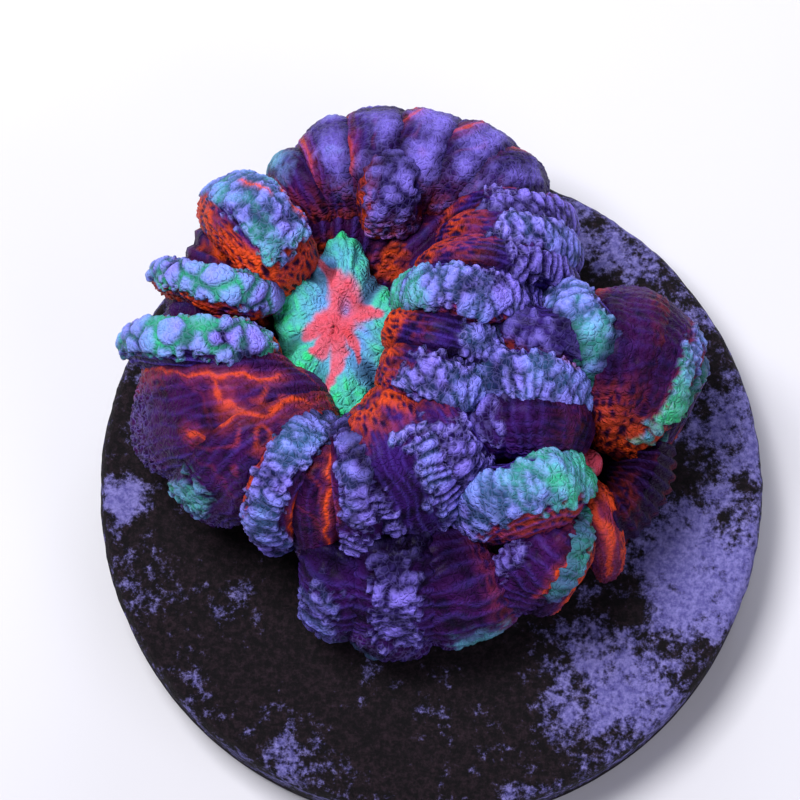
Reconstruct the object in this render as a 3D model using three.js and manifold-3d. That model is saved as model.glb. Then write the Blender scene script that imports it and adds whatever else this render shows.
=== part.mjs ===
// A fleshy brain coral of three polyps, grown on a round ceramic disc.
// The colony is one grown piece: thick fleshy lobes run out like spokes from the
// mouth of each polyp, over the crest of the wall and down its outer side.
// Millimetres, +Z up. The origin is the centre of the disc's flat underside.
// +X is to the right and +Y away from someone who looks down on the coral from the front.
import * as THREE from "three";
import { mergeVertices } from "three/addons/utils/BufferGeometryUtils.js";
import Module from "manifold-3d";

const wasm = await Module();
wasm.setup();

// The ceramic disc
const DISC_RADIUS = 25;
const DISC_THICKNESS = 6;
const DISC_CHAMFER = 0.7;
const DISC_SIDES = 72;

// How finely a lobe is faceted, and the lumps across its back
const LOBE_STEPS_ALONG = 20;
const LOBE_STEPS_ROUND = 12;
const LOBE_BLUNTNESS = 4; // 2 gives an ellipsoid's pointed ends, more gives fuller ones
const LOBE_SQUARENESS = 0.82; // 1 gives an oval section, less gives one with fuller corners
const LUMP_HEIGHT = 0.3;
const LUMPS_ALONG = 4;

// A lobe runs from its inner end, beside the mouth, over its crest to its outer end.
// Each end and the crest is [x, y, z], with z the height of the lobe's back there.
// Half of the width across and half of the thickness follow. A taper widens it outwards by that share.
function lobe(inner, crest, outer, half, deep, taper = 0) {
  return { inner, crest, outer, half, deep, taper };
}
const MAIN_LOBES = [
  lobe([-9.7, 13.9, 15.5], [-12.9, 16.5, 21.4], [-15.4, 20.0, 13.5], 3.5, 3.2), // north west
  lobe([-12.0, 11.3, 16.5], [-16.2, 11.7, 21.6], [-20.3, 14.2, 13.8], 1.9, 2.6), // west upper
  lobe([-11.8, 7.9, 16.5], [-17.1, 7.7, 21.8], [-22.4, 9.0, 13.5], 2.2, 2.8), // west lower
  lobe([-8.8, 5.1, 15.5], [-15.0, 3.6, 20.3], [-21.7, 3.0, 12.0], 3.7, 3.1, 0.35), // south west broad
  lobe([-8.0, 3.6, 16.0], [-13.1, 0.0, 20.4], [-16.8, -2.6, 11.5], 3.0, 2.8, 0.25), // south west
  lobe([-7.4, 2.2, 17.6], [-11.0, -2.6, 21.8], [-11.4, -5.4, 12.0], 2.3, 2.7), // south left
  lobe([-6.8, 1.6, 17.0], [-8.0, -3.4, 20.6], [-8.2, -5.8, 11.5], 1.9, 2.5), // south gap
  lobe([-6.0, 1.6, 18.0], [-5.3, -3.3, 21.8], [-5.2, -5.9, 12.5], 2.1, 2.6), // south
  lobe([-4.3, 3.5, 18.0], [-2.2, -1.4, 22.8], [-0.3, -4.6, 13.5], 3.2, 3.0, 0.15), // south right
  lobe([-1.6, 3.6, 18.0], [1.2, 0.3, 22.0], [2.7, -1.6, 14.5], 2.1, 2.6), // south east
  lobe([-3.1, 6.2, 17.5], [0.1, 4.5, 22.6], [3.3, 4.3, 15.5], 2.5, 2.9), // east lower
  lobe([-3.1, 9.1, 17.5], [1.2, 7.7, 22.2], [4.9, 7.5, 15.5], 2.2, 2.8), // east
  lobe([-2.1, 11.8, 16.8], [2.7, 10.8, 23.0], [7.4, 10.7, 14.5], 2.4, 3.1), // east upper
  lobe([-0.8, 14.4, 15.5], [4.8, 13.5, 22.0], [9.2, 13.2, 13.5], 1.8, 2.9), // north east lower
  lobe([0.6, 16.4, 15.0], [6.0, 15.8, 20.9], [10.1, 15.3, 12.5], 1.8, 2.8), // north east
  lobe([1.6, 18.1, 14.0], [6.2, 18.0, 19.6], [9.7, 17.9, 11.5], 1.9, 2.7), // north east upper
  lobe([1.2, 18.8, 12.5], [5.0, 20.9, 17.6], [7.9, 21.6, 10.5], 2.2, 2.7, 0.2), // north outer right
  lobe([-0.2, 19.0, 12.5], [2.4, 22.3, 18.0], [4.8, 24.3, 10.5], 2.4, 2.8, 0.2), // north right
  lobe([-2.0, 18.8, 12.5], [-0.8, 22.8, 18.2], [0.6, 25.8, 10.5], 2.6, 2.9, 0.2), // north
  lobe([-4.2, 18.8, 12.5], [-4.1, 23.0, 18.2], [-3.9, 26.2, 10.5], 2.6, 2.9, 0.2), // north left
  lobe([-6.2, 18.8, 12.0], [-7.3, 22.5, 17.4], [-8.0, 25.2, 10.5], 2.3, 2.7, 0.2), // north outer left
  lobe([-8.1, 18.6, 12.0], [-9.7, 21.0, 16.0], [-10.9, 22.6, 10.0], 1.9, 2.6, 0.1), // north far left
  lobe([-3.1, 17.9, 14.0], [-3.1, 19.5, 18.3], [-2.9, 21.8, 16.4], 2.1, 2.0), // north bulge
];
const RIGHT_LOBES = [
  lobe([12.6, 5.1, 15.5], [11.1, 8.6, 21.4], [9.2, 11.7, 16.0], 2.4, 2.7), // right crown
  lobe([13.3, 2.6, 12.5], [13.9, 7.2, 20.4], [14.2, 12.6, 12.5], 2.9, 3.0, 0.2), // right back
  lobe([14.2, 2.0, 12.0], [15.9, 6.2, 19.4], [17.4, 10.8, 12.0], 2.9, 2.9, 0.2), // right side
  lobe([14.8, 1.4, 11.5], [16.8, 4.5, 17.2], [18.5, 7.2, 11.5], 2.3, 2.6), // right tip
  lobe([11.3, 7.2, 17.0], [8.1, 7.9, 21.2], [5.6, 8.7, 16.0], 2.0, 2.6), // saddle
  lobe([10.6, 3.8, 17.5], [6.8, 4.8, 22.2], [3.4, 5.1, 15.5], 2.4, 2.7), // dividing upper
  lobe([10.6, 1.4, 17.0], [6.5, 1.6, 21.0], [3.3, 1.8, 15.5], 2.1, 2.7), // dividing middle
  lobe([9.9, -1.9, 16.5], [6.6, -3.5, 21.4], [3.0, -4.2, 14.5], 2.6, 2.9), // dividing lower
  lobe([10.2, -4.0, 14.5], [7.4, -7.6, 18.0], [5.4, -9.2, 11.2], 2.4, 2.6), // right foot
  lobe([10.7, -3.9, 13.6], [9.4, -7.5, 17.0], [8.3, -9.8, 10.8], 1.9, 2.5), // right foot edge
  lobe([12.2, -2.2, 10.5], [13.0, -5.0, 13.7], [13.2, -7.4, 9.0], 2.3, 2.3), // right low
];
const FRONT_LOBES = [
  lobe([-6.2, -6.0, 14.0], [-7.0, -8.6, 16.0], [-7.6, -10.5, 10.0], 2.3, 2.4, 0.1), // front left
  lobe([-2.4, -5.6, 15.0], [-2.6, -9.0, 17.2], [-2.7, -11.6, 10.5], 3.1, 2.8, 0.15), // front middle
  lobe([1.0, -5.6, 14.5], [2.0, -9.0, 16.6], [2.8, -11.4, 10.0], 2.8, 2.6, 0.15), // front right
  lobe([-6.1, -10.2, 10.5], [-4.3, -11.4, 11.6], [-1.6, -12.1, 10.0], 1.6, 1.7), // front hem
];

// The wall that each ring of lobes grows on runs under their crests.
const WALL_RADIUS = 2.6;
const WALL_DROP = 4.4; // how far the wall's centreline is below the lobes' backs
const WALL_SIDES = 12;

// The tissue round the main mouth: a low dome with petals that ruffle at its rim
const ORAL_DISC = { half_x: 4.7, half_y: 7.0, bottom: 11.0, top: 15.8, petals: 8, ruffle: 0.16 };
const MOUTH_BEAD = { x: 11.6, y: 0.4, z: 12.2, radius: 1.1 };

// Each polyp is a skin over its lobes, laid out on rings round its middle. The floor is the height
// of the pit between the lobes, and the foot is the half sizes of the oval that it stands on.
const POLYPS = [
  {
    lobes: MAIN_LOBES,
    mouth: ORAL_DISC,
    middle: { x: -7.2, y: 9.4 },
    reach: 20,
    floor: 11.5,
    foot: { x: 12.0, y: 12.4 },
    columns: 112,
    rings: 19,
  },
  {
    lobes: RIGHT_LOBES,
    middle: { x: 12.0, y: 1.2 },
    reach: 15,
    floor: 9.0,
    foot: { x: 5.4, y: 7.0 },
    columns: 68,
    rings: 13,
  },
  {
    lobes: FRONT_LOBES,
    middle: { x: -1.9, y: -8.4 },
    reach: 10,
    floor: 11.0,
    foot: { x: 5.6, y: 4.2 },
    columns: 40,
    rings: 7,
  },
];
const UNDERSIDE_SHARES = [0.96, 0.86]; // of the outline, for the rings on the lobes' undersides
const FOOT_SHARE = 0.8; // the foot keeps inside this share of the outline
const FOOT_WAIST = 0.9; // of the foot's size, just above the disc
const FOOT_WAIST_HEIGHT = 1.6; // above the disc
const UNDERSIDE_CLEARANCE = 0.4; // of the lobes above the waist
const LEAST_HEM = 0.5; // thickness that is kept at a lobe's outer edge
const OUTLINE_STEP = 0.15;
const SKY = 60; // heights from which the forms are looked at, from above and from below
const CELLAR = -20;

/** A point of an end or crest, with the lobe's half thickness taken off its height. */
function onCentreline(point, deep) {
  return new THREE.Vector3(point[0], point[1], point[2] - deep);
}

/** The curve through a lobe's two ends and its crest, which it passes half way along. */
function lobeCurve({ inner, crest, outer, deep }) {
  const start = onCentreline(inner, deep);
  const middle = onCentreline(crest, deep);
  const end = onCentreline(outer, deep);
  const handle = middle.clone().multiplyScalar(2).sub(start.clone().add(end).multiplyScalar(0.5));
  return new THREE.QuadraticBezierCurve3(start, handle, end);
}

/** A cosine or sine for a section between an oval and a rectangle. */
function squared(value) {
  return Math.sign(value) * Math.abs(value) ** LOBE_SQUARENESS;
}

/** One lobe: a unit sphere whose axis is bent along the lobe's curve, with lumps across its back. */
function lobeGeometry(lobe) {
  const geometry = new THREE.SphereGeometry(1, LOBE_STEPS_ROUND, LOBE_STEPS_ALONG);
  const position = geometry.getAttribute("position");
  const curve = lobeCurve(lobe);
  const up = new THREE.Vector3(0, 0, 1);
  for (let i = 0; i < position.count; i++) {
    const along = (1 - THREE.MathUtils.clamp(position.getY(i), -1, 1)) / 2;
    const fullness = Math.sqrt(1 - Math.abs(2 * along - 1) ** LOBE_BLUNTNESS);
    const half = lobe.half * fullness * (1 + lobe.taper * (2 * along - 1));
    const angle = Math.atan2(position.getZ(i), position.getX(i));
    const tangent = curve.getTangent(along);
    const side = up.clone().cross(tangent).normalize();
    const normal = tangent.clone().cross(side);
    const wave = Math.sin(2 * Math.PI * LUMPS_ALONG * along);
    const lump = LUMP_HEIGHT * fullness * Math.max(0, Math.sin(angle)) * wave;
    const point = curve
      .getPoint(along)
      .addScaledVector(side, half * squared(Math.cos(angle)))
      .addScaledVector(normal, (lobe.deep * fullness + lump) * squared(Math.sin(angle)));
    position.setXYZ(i, point.x, point.y, point.z);
  }
  geometry.computeBoundingSphere();
  return geometry;
}

/** The wall under a ring or row of lobes: a tube through points a fixed drop under their crests. */
function wallGeometry(lobes) {
  const points = lobes.map(({ crest }) => new THREE.Vector3(crest[0], crest[1], crest[2] - WALL_DROP));
  const path = new THREE.CatmullRomCurve3(points, false, "centripetal");
  return new THREE.TubeGeometry(path, 4 * lobes.length, WALL_RADIUS, WALL_SIDES);
}

/** The oral disc: a flattened sphere whose radius swells and shrinks round the mouth, once for each petal. */
function oralDiscGeometry({ half_x, half_y, bottom, top, petals, ruffle }, { x, y }) {
  const geometry = new THREE.SphereGeometry(1, 64, 24).rotateX(Math.PI / 2);
  const position = geometry.getAttribute("position");
  for (let i = 0; i < position.count; i++) {
    const [px, py] = [position.getX(i), position.getY(i)];
    const swell = 1 + ruffle * Math.hypot(px, py) * Math.cos(petals * Math.atan2(py, px));
    position.setXYZ(i, px * swell, py * swell, position.getZ(i) * swell);
  }
  return geometry.scale(half_x, half_y, (top - bottom) / 2).translate(x, y, (top + bottom) / 2);
}

/** The height of the first surface of the forms on the vertical through a point, seen from above or below. */
function heightOf(forms, x, y, above) {
  const from = new THREE.Vector3(x, y, above ? SKY : CELLAR);
  const ray = new THREE.Raycaster(from, new THREE.Vector3(0, 0, above ? -1 : 1));
  const hit = ray.intersectObjects(forms, false)[0];
  return hit ? hit.point.z : null;
}

/** How far from the polyp's middle the forms reach in a direction, seen from above. */
function outlineRadius(forms, { middle, reach }, east, north) {
  const height = (radius) => heightOf(forms, middle.x + radius * east, middle.y + radius * north, true);
  let radius = reach;
  while (radius > OUTLINE_STEP && height(radius) === null) radius -= OUTLINE_STEP;
  return radius;
}

/** The skin's section in one direction, from the pit's middle over the lobes and down to the foot. */
function skinSection(forms, polyp, angle) {
  const { middle, floor, foot, rings } = polyp;
  const [east, north] = [Math.cos(angle), Math.sin(angle)];
  const outline = outlineRadius(forms, polyp, east, north);
  const point = (radius, height) => [middle.x + radius * east, middle.y + radius * north, height];
  const seen = (radius, above) => heightOf(forms, middle.x + radius * east, middle.y + radius * north, above);
  const section = [];
  for (let ring = 0; ring <= rings; ring++) {
    const radius = outline * Math.sin((ring / rings) * (Math.PI / 2));
    section.push(point(radius, Math.max(seen(radius, true) ?? floor, floor)));
  }
  for (const share of UNDERSIDE_SHARES) {
    const hem = section[section.length - 1][2] - LEAST_HEM;
    const underside = Math.min(seen(share * outline, false) ?? hem, hem);
    const lowest = DISC_THICKNESS + FOOT_WAIST_HEIGHT + UNDERSIDE_CLEARANCE;
    section.push(point(share * outline, Math.max(underside, lowest)));
  }
  const stand = Math.min(1 / Math.hypot(east / foot.x, north / foot.y), FOOT_SHARE * outline);
  section.push(point(FOOT_WAIST * stand, DISC_THICKNESS + FOOT_WAIST_HEIGHT));
  section.push(point(stand, DISC_THICKNESS), point(0, DISC_THICKNESS));
  return section;
}

/** One polyp: a sphere's grid, each column of which is moved on to the skin's section in its direction. */
function polypGeometry(polyp) {
  const { lobes, mouth, middle, columns } = polyp;
  const shapes = [...lobes.map(lobeGeometry), wallGeometry(lobes)];
  if (mouth) shapes.push(oralDiscGeometry(mouth, middle));
  const forms = shapes.map((shape) => new THREE.Mesh(shape));
  const sections = [];
  for (let column = 0; column < columns; column++) {
    sections.push(skinSection(forms, polyp, Math.PI + (2 * Math.PI * column) / columns));
  }
  sections.push(sections[0]);
  const rows = sections[0].length - 1;
  const geometry = new THREE.SphereGeometry(1, columns, rows);
  const position = geometry.getAttribute("position");
  for (let row = 0; row <= rows; row++) {
    sections.forEach((section, column) => position.setXYZ(row * (columns + 1) + column, ...section[row]));
  }
  return geometry;
}

/** A closed geometry as a manifold solid. */
function solid(geometry) {
  geometry.deleteAttribute("normal");
  geometry.deleteAttribute("uv");
  const merged = mergeVertices(geometry, 1e-4);
  return new wasm.Manifold(
    new wasm.Mesh({
      numProp: 3,
      vertProperties: merged.getAttribute("position").array,
      triVerts: new Uint32Array(merged.index.array),
    }),
  );
}

/** A manifold solid as a three.js geometry with flat facets. */
function geometryOf(made) {
  const mesh = made.getMesh();
  const geometry = new THREE.BufferGeometry();
  geometry.setAttribute("position", new THREE.BufferAttribute(new Float32Array(mesh.vertProperties), 3));
  geometry.setIndex(new THREE.BufferAttribute(new Uint32Array(mesh.triVerts), 1));
  const faceted = geometry.toNonIndexed();
  faceted.computeVertexNormals();
  return faceted;
}

/** The colony: its polyps and the small bead of the second mouth grown into one solid. */
function colonyGeometry() {
  const { x, y, z, radius } = MOUTH_BEAD;
  const bead = new THREE.SphereGeometry(radius, 12, 8).translate(x, y, z);
  const pieces = [...POLYPS.map(polypGeometry), bead];
  return geometryOf(pieces.map(solid).reduce((whole, piece) => whole.add(piece)));
}

/** The disc: a turned blank with a chamfer round each face. */
function discGeometry() {
  const rim = DISC_RADIUS - DISC_CHAMFER;
  const profile = [
    [0, 0],
    [rim, 0],
    [DISC_RADIUS, DISC_CHAMFER],
    [DISC_RADIUS, DISC_THICKNESS - DISC_CHAMFER],
    [rim, DISC_THICKNESS],
    [0, DISC_THICKNESS],
  ].map(([radius, height]) => new THREE.Vector2(radius, height));
  return new THREE.LatheGeometry(profile, DISC_SIDES).rotateX(Math.PI / 2);
}

const colony = new THREE.Mesh(
  colonyGeometry(),
  new THREE.MeshStandardMaterial({ color: 0x5a4aa8, roughness: 0.45, metalness: 0 }),
);
colony.name = "coral_colony";

const disc = new THREE.Mesh(
  discGeometry(),
  new THREE.MeshStandardMaterial({ color: 0x2b2430, roughness: 0.9, metalness: 0 }),
);
disc.name = "ceramic_disc";

const part = new THREE.Group();
part.add(colony, disc);

export default part;
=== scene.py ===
"""A fleshy brain coral on a crusted ceramic disc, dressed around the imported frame.

The colony is made of thick lobes that run out like spokes from each mouth. Every lobe, the
flesh under the lobes, the tissue round the mouths and the disc is a surface worked out with
numpy on a grid of two parameters, in millimetres, and put into Blender in metres.
"""
import logging
import math
from dataclasses import dataclass
from enum import Enum

import bpy
import numpy as np
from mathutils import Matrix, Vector
from numpy.typing import NDArray


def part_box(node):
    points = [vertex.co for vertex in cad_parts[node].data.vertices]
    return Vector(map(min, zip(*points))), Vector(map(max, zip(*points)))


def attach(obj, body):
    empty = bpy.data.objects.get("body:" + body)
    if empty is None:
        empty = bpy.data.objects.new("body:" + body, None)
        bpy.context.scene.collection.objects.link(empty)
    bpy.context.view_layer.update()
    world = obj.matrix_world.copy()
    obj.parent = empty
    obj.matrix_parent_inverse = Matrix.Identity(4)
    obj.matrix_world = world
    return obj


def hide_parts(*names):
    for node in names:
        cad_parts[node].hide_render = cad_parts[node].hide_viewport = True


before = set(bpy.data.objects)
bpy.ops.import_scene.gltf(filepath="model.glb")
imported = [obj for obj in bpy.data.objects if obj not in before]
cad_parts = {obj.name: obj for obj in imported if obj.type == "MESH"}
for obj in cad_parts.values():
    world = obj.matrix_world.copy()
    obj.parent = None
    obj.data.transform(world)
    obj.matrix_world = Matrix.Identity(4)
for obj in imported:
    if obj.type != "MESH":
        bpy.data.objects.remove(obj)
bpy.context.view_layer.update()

Array = NDArray[np.float64]
Point = tuple[float, float, float]

log = logging.getLogger("brain_coral")

MM = 0.001

# The disc, as the frame has it
DISC_LOW, DISC_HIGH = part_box("ceramic_disc")
DISC_RADIUS = float(DISC_HIGH[0] - DISC_LOW[0]) / MM / 2
DISC_TOP = float(DISC_HIGH[2]) / MM

# Grid spacings on a lobe, which keep the whole model under a million triangles
LOBE_STEP = 0.15
UNDERSIDE_COARSENING = 2.4

# More than any distance that is measured in cells or in radii
FAR = 9.0


def smooth_step(low: float, high: float, value: Array) -> Array:
    """Rise from 0 at low to 1 at high along a cubic with flat ends.

    Args:
        low: Value at which the step starts; it may be above high for a falling step.
        high: Value at which the step is complete.
        value: Values to map.

    Returns:
        The step's height at each value, between 0 and 1.
    """
    t = np.clip((value - low) / (high - low), 0.0, 1.0)
    return t * t * (3.0 - 2.0 * t)


class Noise:
    """Repeatable random fields in space, worked out from a hash of whole-number cells."""

    PRIMES = (73856093, 19349663, 83492791)
    SEED_STEP, CHANNEL_STEP = 2654435, 974711
    MIXERS = ((15, 2246822519), (13, 3266489917))
    WORD = 0xFFFFFFFF
    OCTAVE_SHIFT = 17.3

    def __init__(self, seed: int) -> None:
        """Keep the seed, which shifts every field."""
        self.seed = seed

    def _hash(self, cells: NDArray[np.int64], channel: int) -> Array:
        """Mix a cell's three numbers, the channel and the seed into one number from 0 to 1.

        Args:
            cells: Cell numbers, in the last axis.
            channel: Which of a cell's random numbers is wanted.

        Returns:
            One number for each cell.
        """
        x, y, z = (cells[..., i] * prime for i, prime in enumerate(self.PRIMES))
        mixed = (x ^ y ^ z ^ (self.seed * self.SEED_STEP + channel * self.CHANNEL_STEP)) & self.WORD
        for shift, factor in self.MIXERS:
            mixed = ((mixed >> shift) ^ mixed) * factor & self.WORD
        return ((mixed >> 16) ^ mixed) / (self.WORD + 1.0)

    def smooth(self, points: Array, size: float) -> Array:
        """Value noise: the corners of each cube of a lattice hold random values, blended smoothly.

        Args:
            points: Places, in millimetres, with x, y and z in the last axis.
            size: Side of a cube.

        Returns:
            Values from -1 to 1.
        """
        scaled = points / size
        base = np.floor(scaled).astype(np.int64)
        part = scaled - base
        part = part * part * (3.0 - 2.0 * part)
        total = np.zeros(points.shape[:-1])
        for corner in np.ndindex(2, 2, 2):
            offset = np.array(corner)
            weight = np.prod(np.where(offset == 1, part, 1.0 - part), axis=-1)
            total += weight * self._hash(base + offset, 0)
        return 2.0 * total - 1.0

    def fractal(self, points: Array, size: float, octaves: int = 3) -> Array:
        """Sum of smooth noises, each half as large and half as strong as the one before.

        Args:
            points: Places in millimetres.
            size: Size of the largest features.
            octaves: How many noises are summed.

        Returns:
            Values from about -1 to 1.
        """
        total = np.zeros(points.shape[:-1])
        for octave in range(octaves):
            total += self.smooth(points + self.OCTAVE_SHIFT * octave, size / 2**octave) / 2**octave
        return total / (2.0 - 0.5 ** (octaves - 1))

    def cells(self, points: Array, size: float) -> tuple[Array, Array]:
        """Cellular noise: scattered seeds own the places that are nearest to them.

        Args:
            points: Places in millimetres.
            size: Mean spacing of the seeds.

        Returns:
            How much further the second seed is than the nearest, in cell sizes, which is 0
            where two cells meet, and a random number from 0 to 1 for each place's own cell.
        """
        scaled = points / size
        base = np.floor(scaled).astype(np.int64)
        nearest, second = np.full((2, *points.shape[:-1]), FAR)
        owner = np.zeros(points.shape[:-1])
        for corner in np.ndindex(3, 3, 3):
            cell = base + np.array(corner) - 1
            jitter = np.stack([self._hash(cell, channel) for channel in (1, 2, 3)], axis=-1)
            distance = np.linalg.norm(scaled - cell - jitter, axis=-1)
            owner = np.where(distance < nearest, jitter[..., 0], owner)
            second = np.minimum(second, np.maximum(nearest, distance))
            nearest = np.minimum(nearest, distance)
        return second - nearest, owner


def grid_normals(points: Array) -> Array:
    """Unit normals of a grid that wraps in its second direction: the cross product of its slopes.

    Args:
        points: Grid of places, rows along the form and columns round it.

    Returns:
        Normals, pointing out where the columns run anticlockwise seen from the last row.
    """
    along = np.gradient(points, axis=0)
    around = np.roll(points, -1, axis=1) - np.roll(points, 1, axis=1)
    normal = np.cross(around, along)
    length = np.linalg.norm(normal, axis=-1, keepdims=True)
    return normal / np.maximum(length, 1e-9)


def place_object(name: str, data: bpy.types.ID) -> bpy.types.Object:
    """Put a mesh, a light or a camera into the scene.

    Args:
        name: The object's name.
        data: What the object shows.

    Returns:
        The new object, at the origin.
    """
    made = bpy.data.objects.new(name, data)
    bpy.context.scene.collection.objects.link(made)
    return made


def wrapped_mesh(name: str, points: Array, masks: dict[str, Array]) -> bpy.types.Object:
    """Make a closed mesh from a grid whose first and last rows each shrink to one point.

    Neighbouring rows are joined by quads and wrap round, and each end is a fan of triangles.

    Args:
        name: The object's name.
        points: Grid of places in millimetres, rows by columns by three.
        masks: Values for each grid point, stored as attributes that the materials read.

    Returns:
        The new object, at the origin and smooth shaded.
    """
    rows, columns = points.shape[:2]
    inner = points[1:-1].reshape(-1, 3)
    ends = np.array([points[0].mean(axis=0), points[-1].mean(axis=0)])
    vertices = np.concatenate([inner, ends]) * MM
    first_end, last_end = len(inner), len(inner) + 1
    here = np.arange(columns)
    beside = np.roll(here, -1)
    ring = (np.arange(rows - 3) * columns)[:, None]
    quads = np.stack([ring + here, ring + beside, ring + columns + beside, ring + columns + here], axis=-1)
    last_ring = (rows - 3) * columns
    first_fan = np.stack([beside, here, np.full(columns, first_end)], axis=-1)
    last_fan = np.stack([last_ring + here, last_ring + beside, np.full(columns, last_end)], axis=-1)
    quads = quads.reshape(-1, 4)
    corners = np.concatenate([quads.ravel(), first_fan.ravel(), last_fan.ravel()])
    sizes = np.concatenate([np.full(len(quads), 4), np.full(2 * columns, 3)])
    starts = np.concatenate([[0], np.cumsum(sizes)[:-1]])

    mesh = bpy.data.meshes.new(name)
    mesh.vertices.add(len(vertices))
    mesh.vertices.foreach_set("co", vertices.ravel())
    mesh.loops.add(len(corners))
    mesh.loops.foreach_set("vertex_index", corners)
    mesh.polygons.add(len(sizes))
    mesh.polygons.foreach_set("loop_start", starts)
    mesh.polygons.foreach_set("use_smooth", np.ones(len(sizes), dtype=bool))
    for label, values in masks.items():
        data = np.concatenate([values[1:-1].ravel(), [values[0].mean(), values[-1].mean()]])
        mesh.attributes.new(label, "FLOAT", "POINT").data.foreach_set("value", data)
    mesh.update(calc_edges=True)
    mesh.validate()
    return place_object(name, mesh)


def linear(colour: str) -> tuple[float, float, float, float]:
    """Turn an sRGB hex colour into linear light, channel by channel.

    Args:
        colour: Six hex digits after a hash.

    Returns:
        Red, green, blue and an alpha of 1.
    """
    parts = [int(colour[i : i + 2], 16) / 255 for i in (1, 3, 5)]
    bright = [part / 12.92 if part <= 0.04045 else ((part + 0.055) / 1.055) ** 2.4 for part in parts]
    return (bright[0], bright[1], bright[2], 1.0)


def add_node(
    tree: bpy.types.NodeTree,
    kind: str,
    settings: dict[str, object] | None = None,
    links: dict[object, object] | None = None,
    values: dict[object, object] | None = None,
) -> bpy.types.Node:
    """Add a shader node with its settings, its socket values and its links.

    Args:
        tree: Node tree of a material.
        kind: The node's type.
        settings: Properties of the node itself.
        links: Input socket, by name or number, to the output that feeds it.
        values: Input socket, by name or number, to its fixed value.

    Returns:
        The new node.
    """
    made = tree.nodes.new(kind)
    for label, value in (settings or {}).items():
        setattr(made, label, value)
    for socket, value in (values or {}).items():
        made.inputs[socket].default_value = value
    for socket, source in (links or {}).items():
        tree.links.new(source, made.inputs[socket])
    return made


def new_tree(name: str) -> tuple[bpy.types.Material, bpy.types.NodeTree]:
    """Make a material whose tree of shader nodes is empty.

    Args:
        name: The material's name.

    Returns:
        The material and its tree.
    """
    material = bpy.data.materials.new(name)
    material.use_nodes = True
    material.node_tree.nodes.clear()
    return material, material.node_tree


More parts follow.
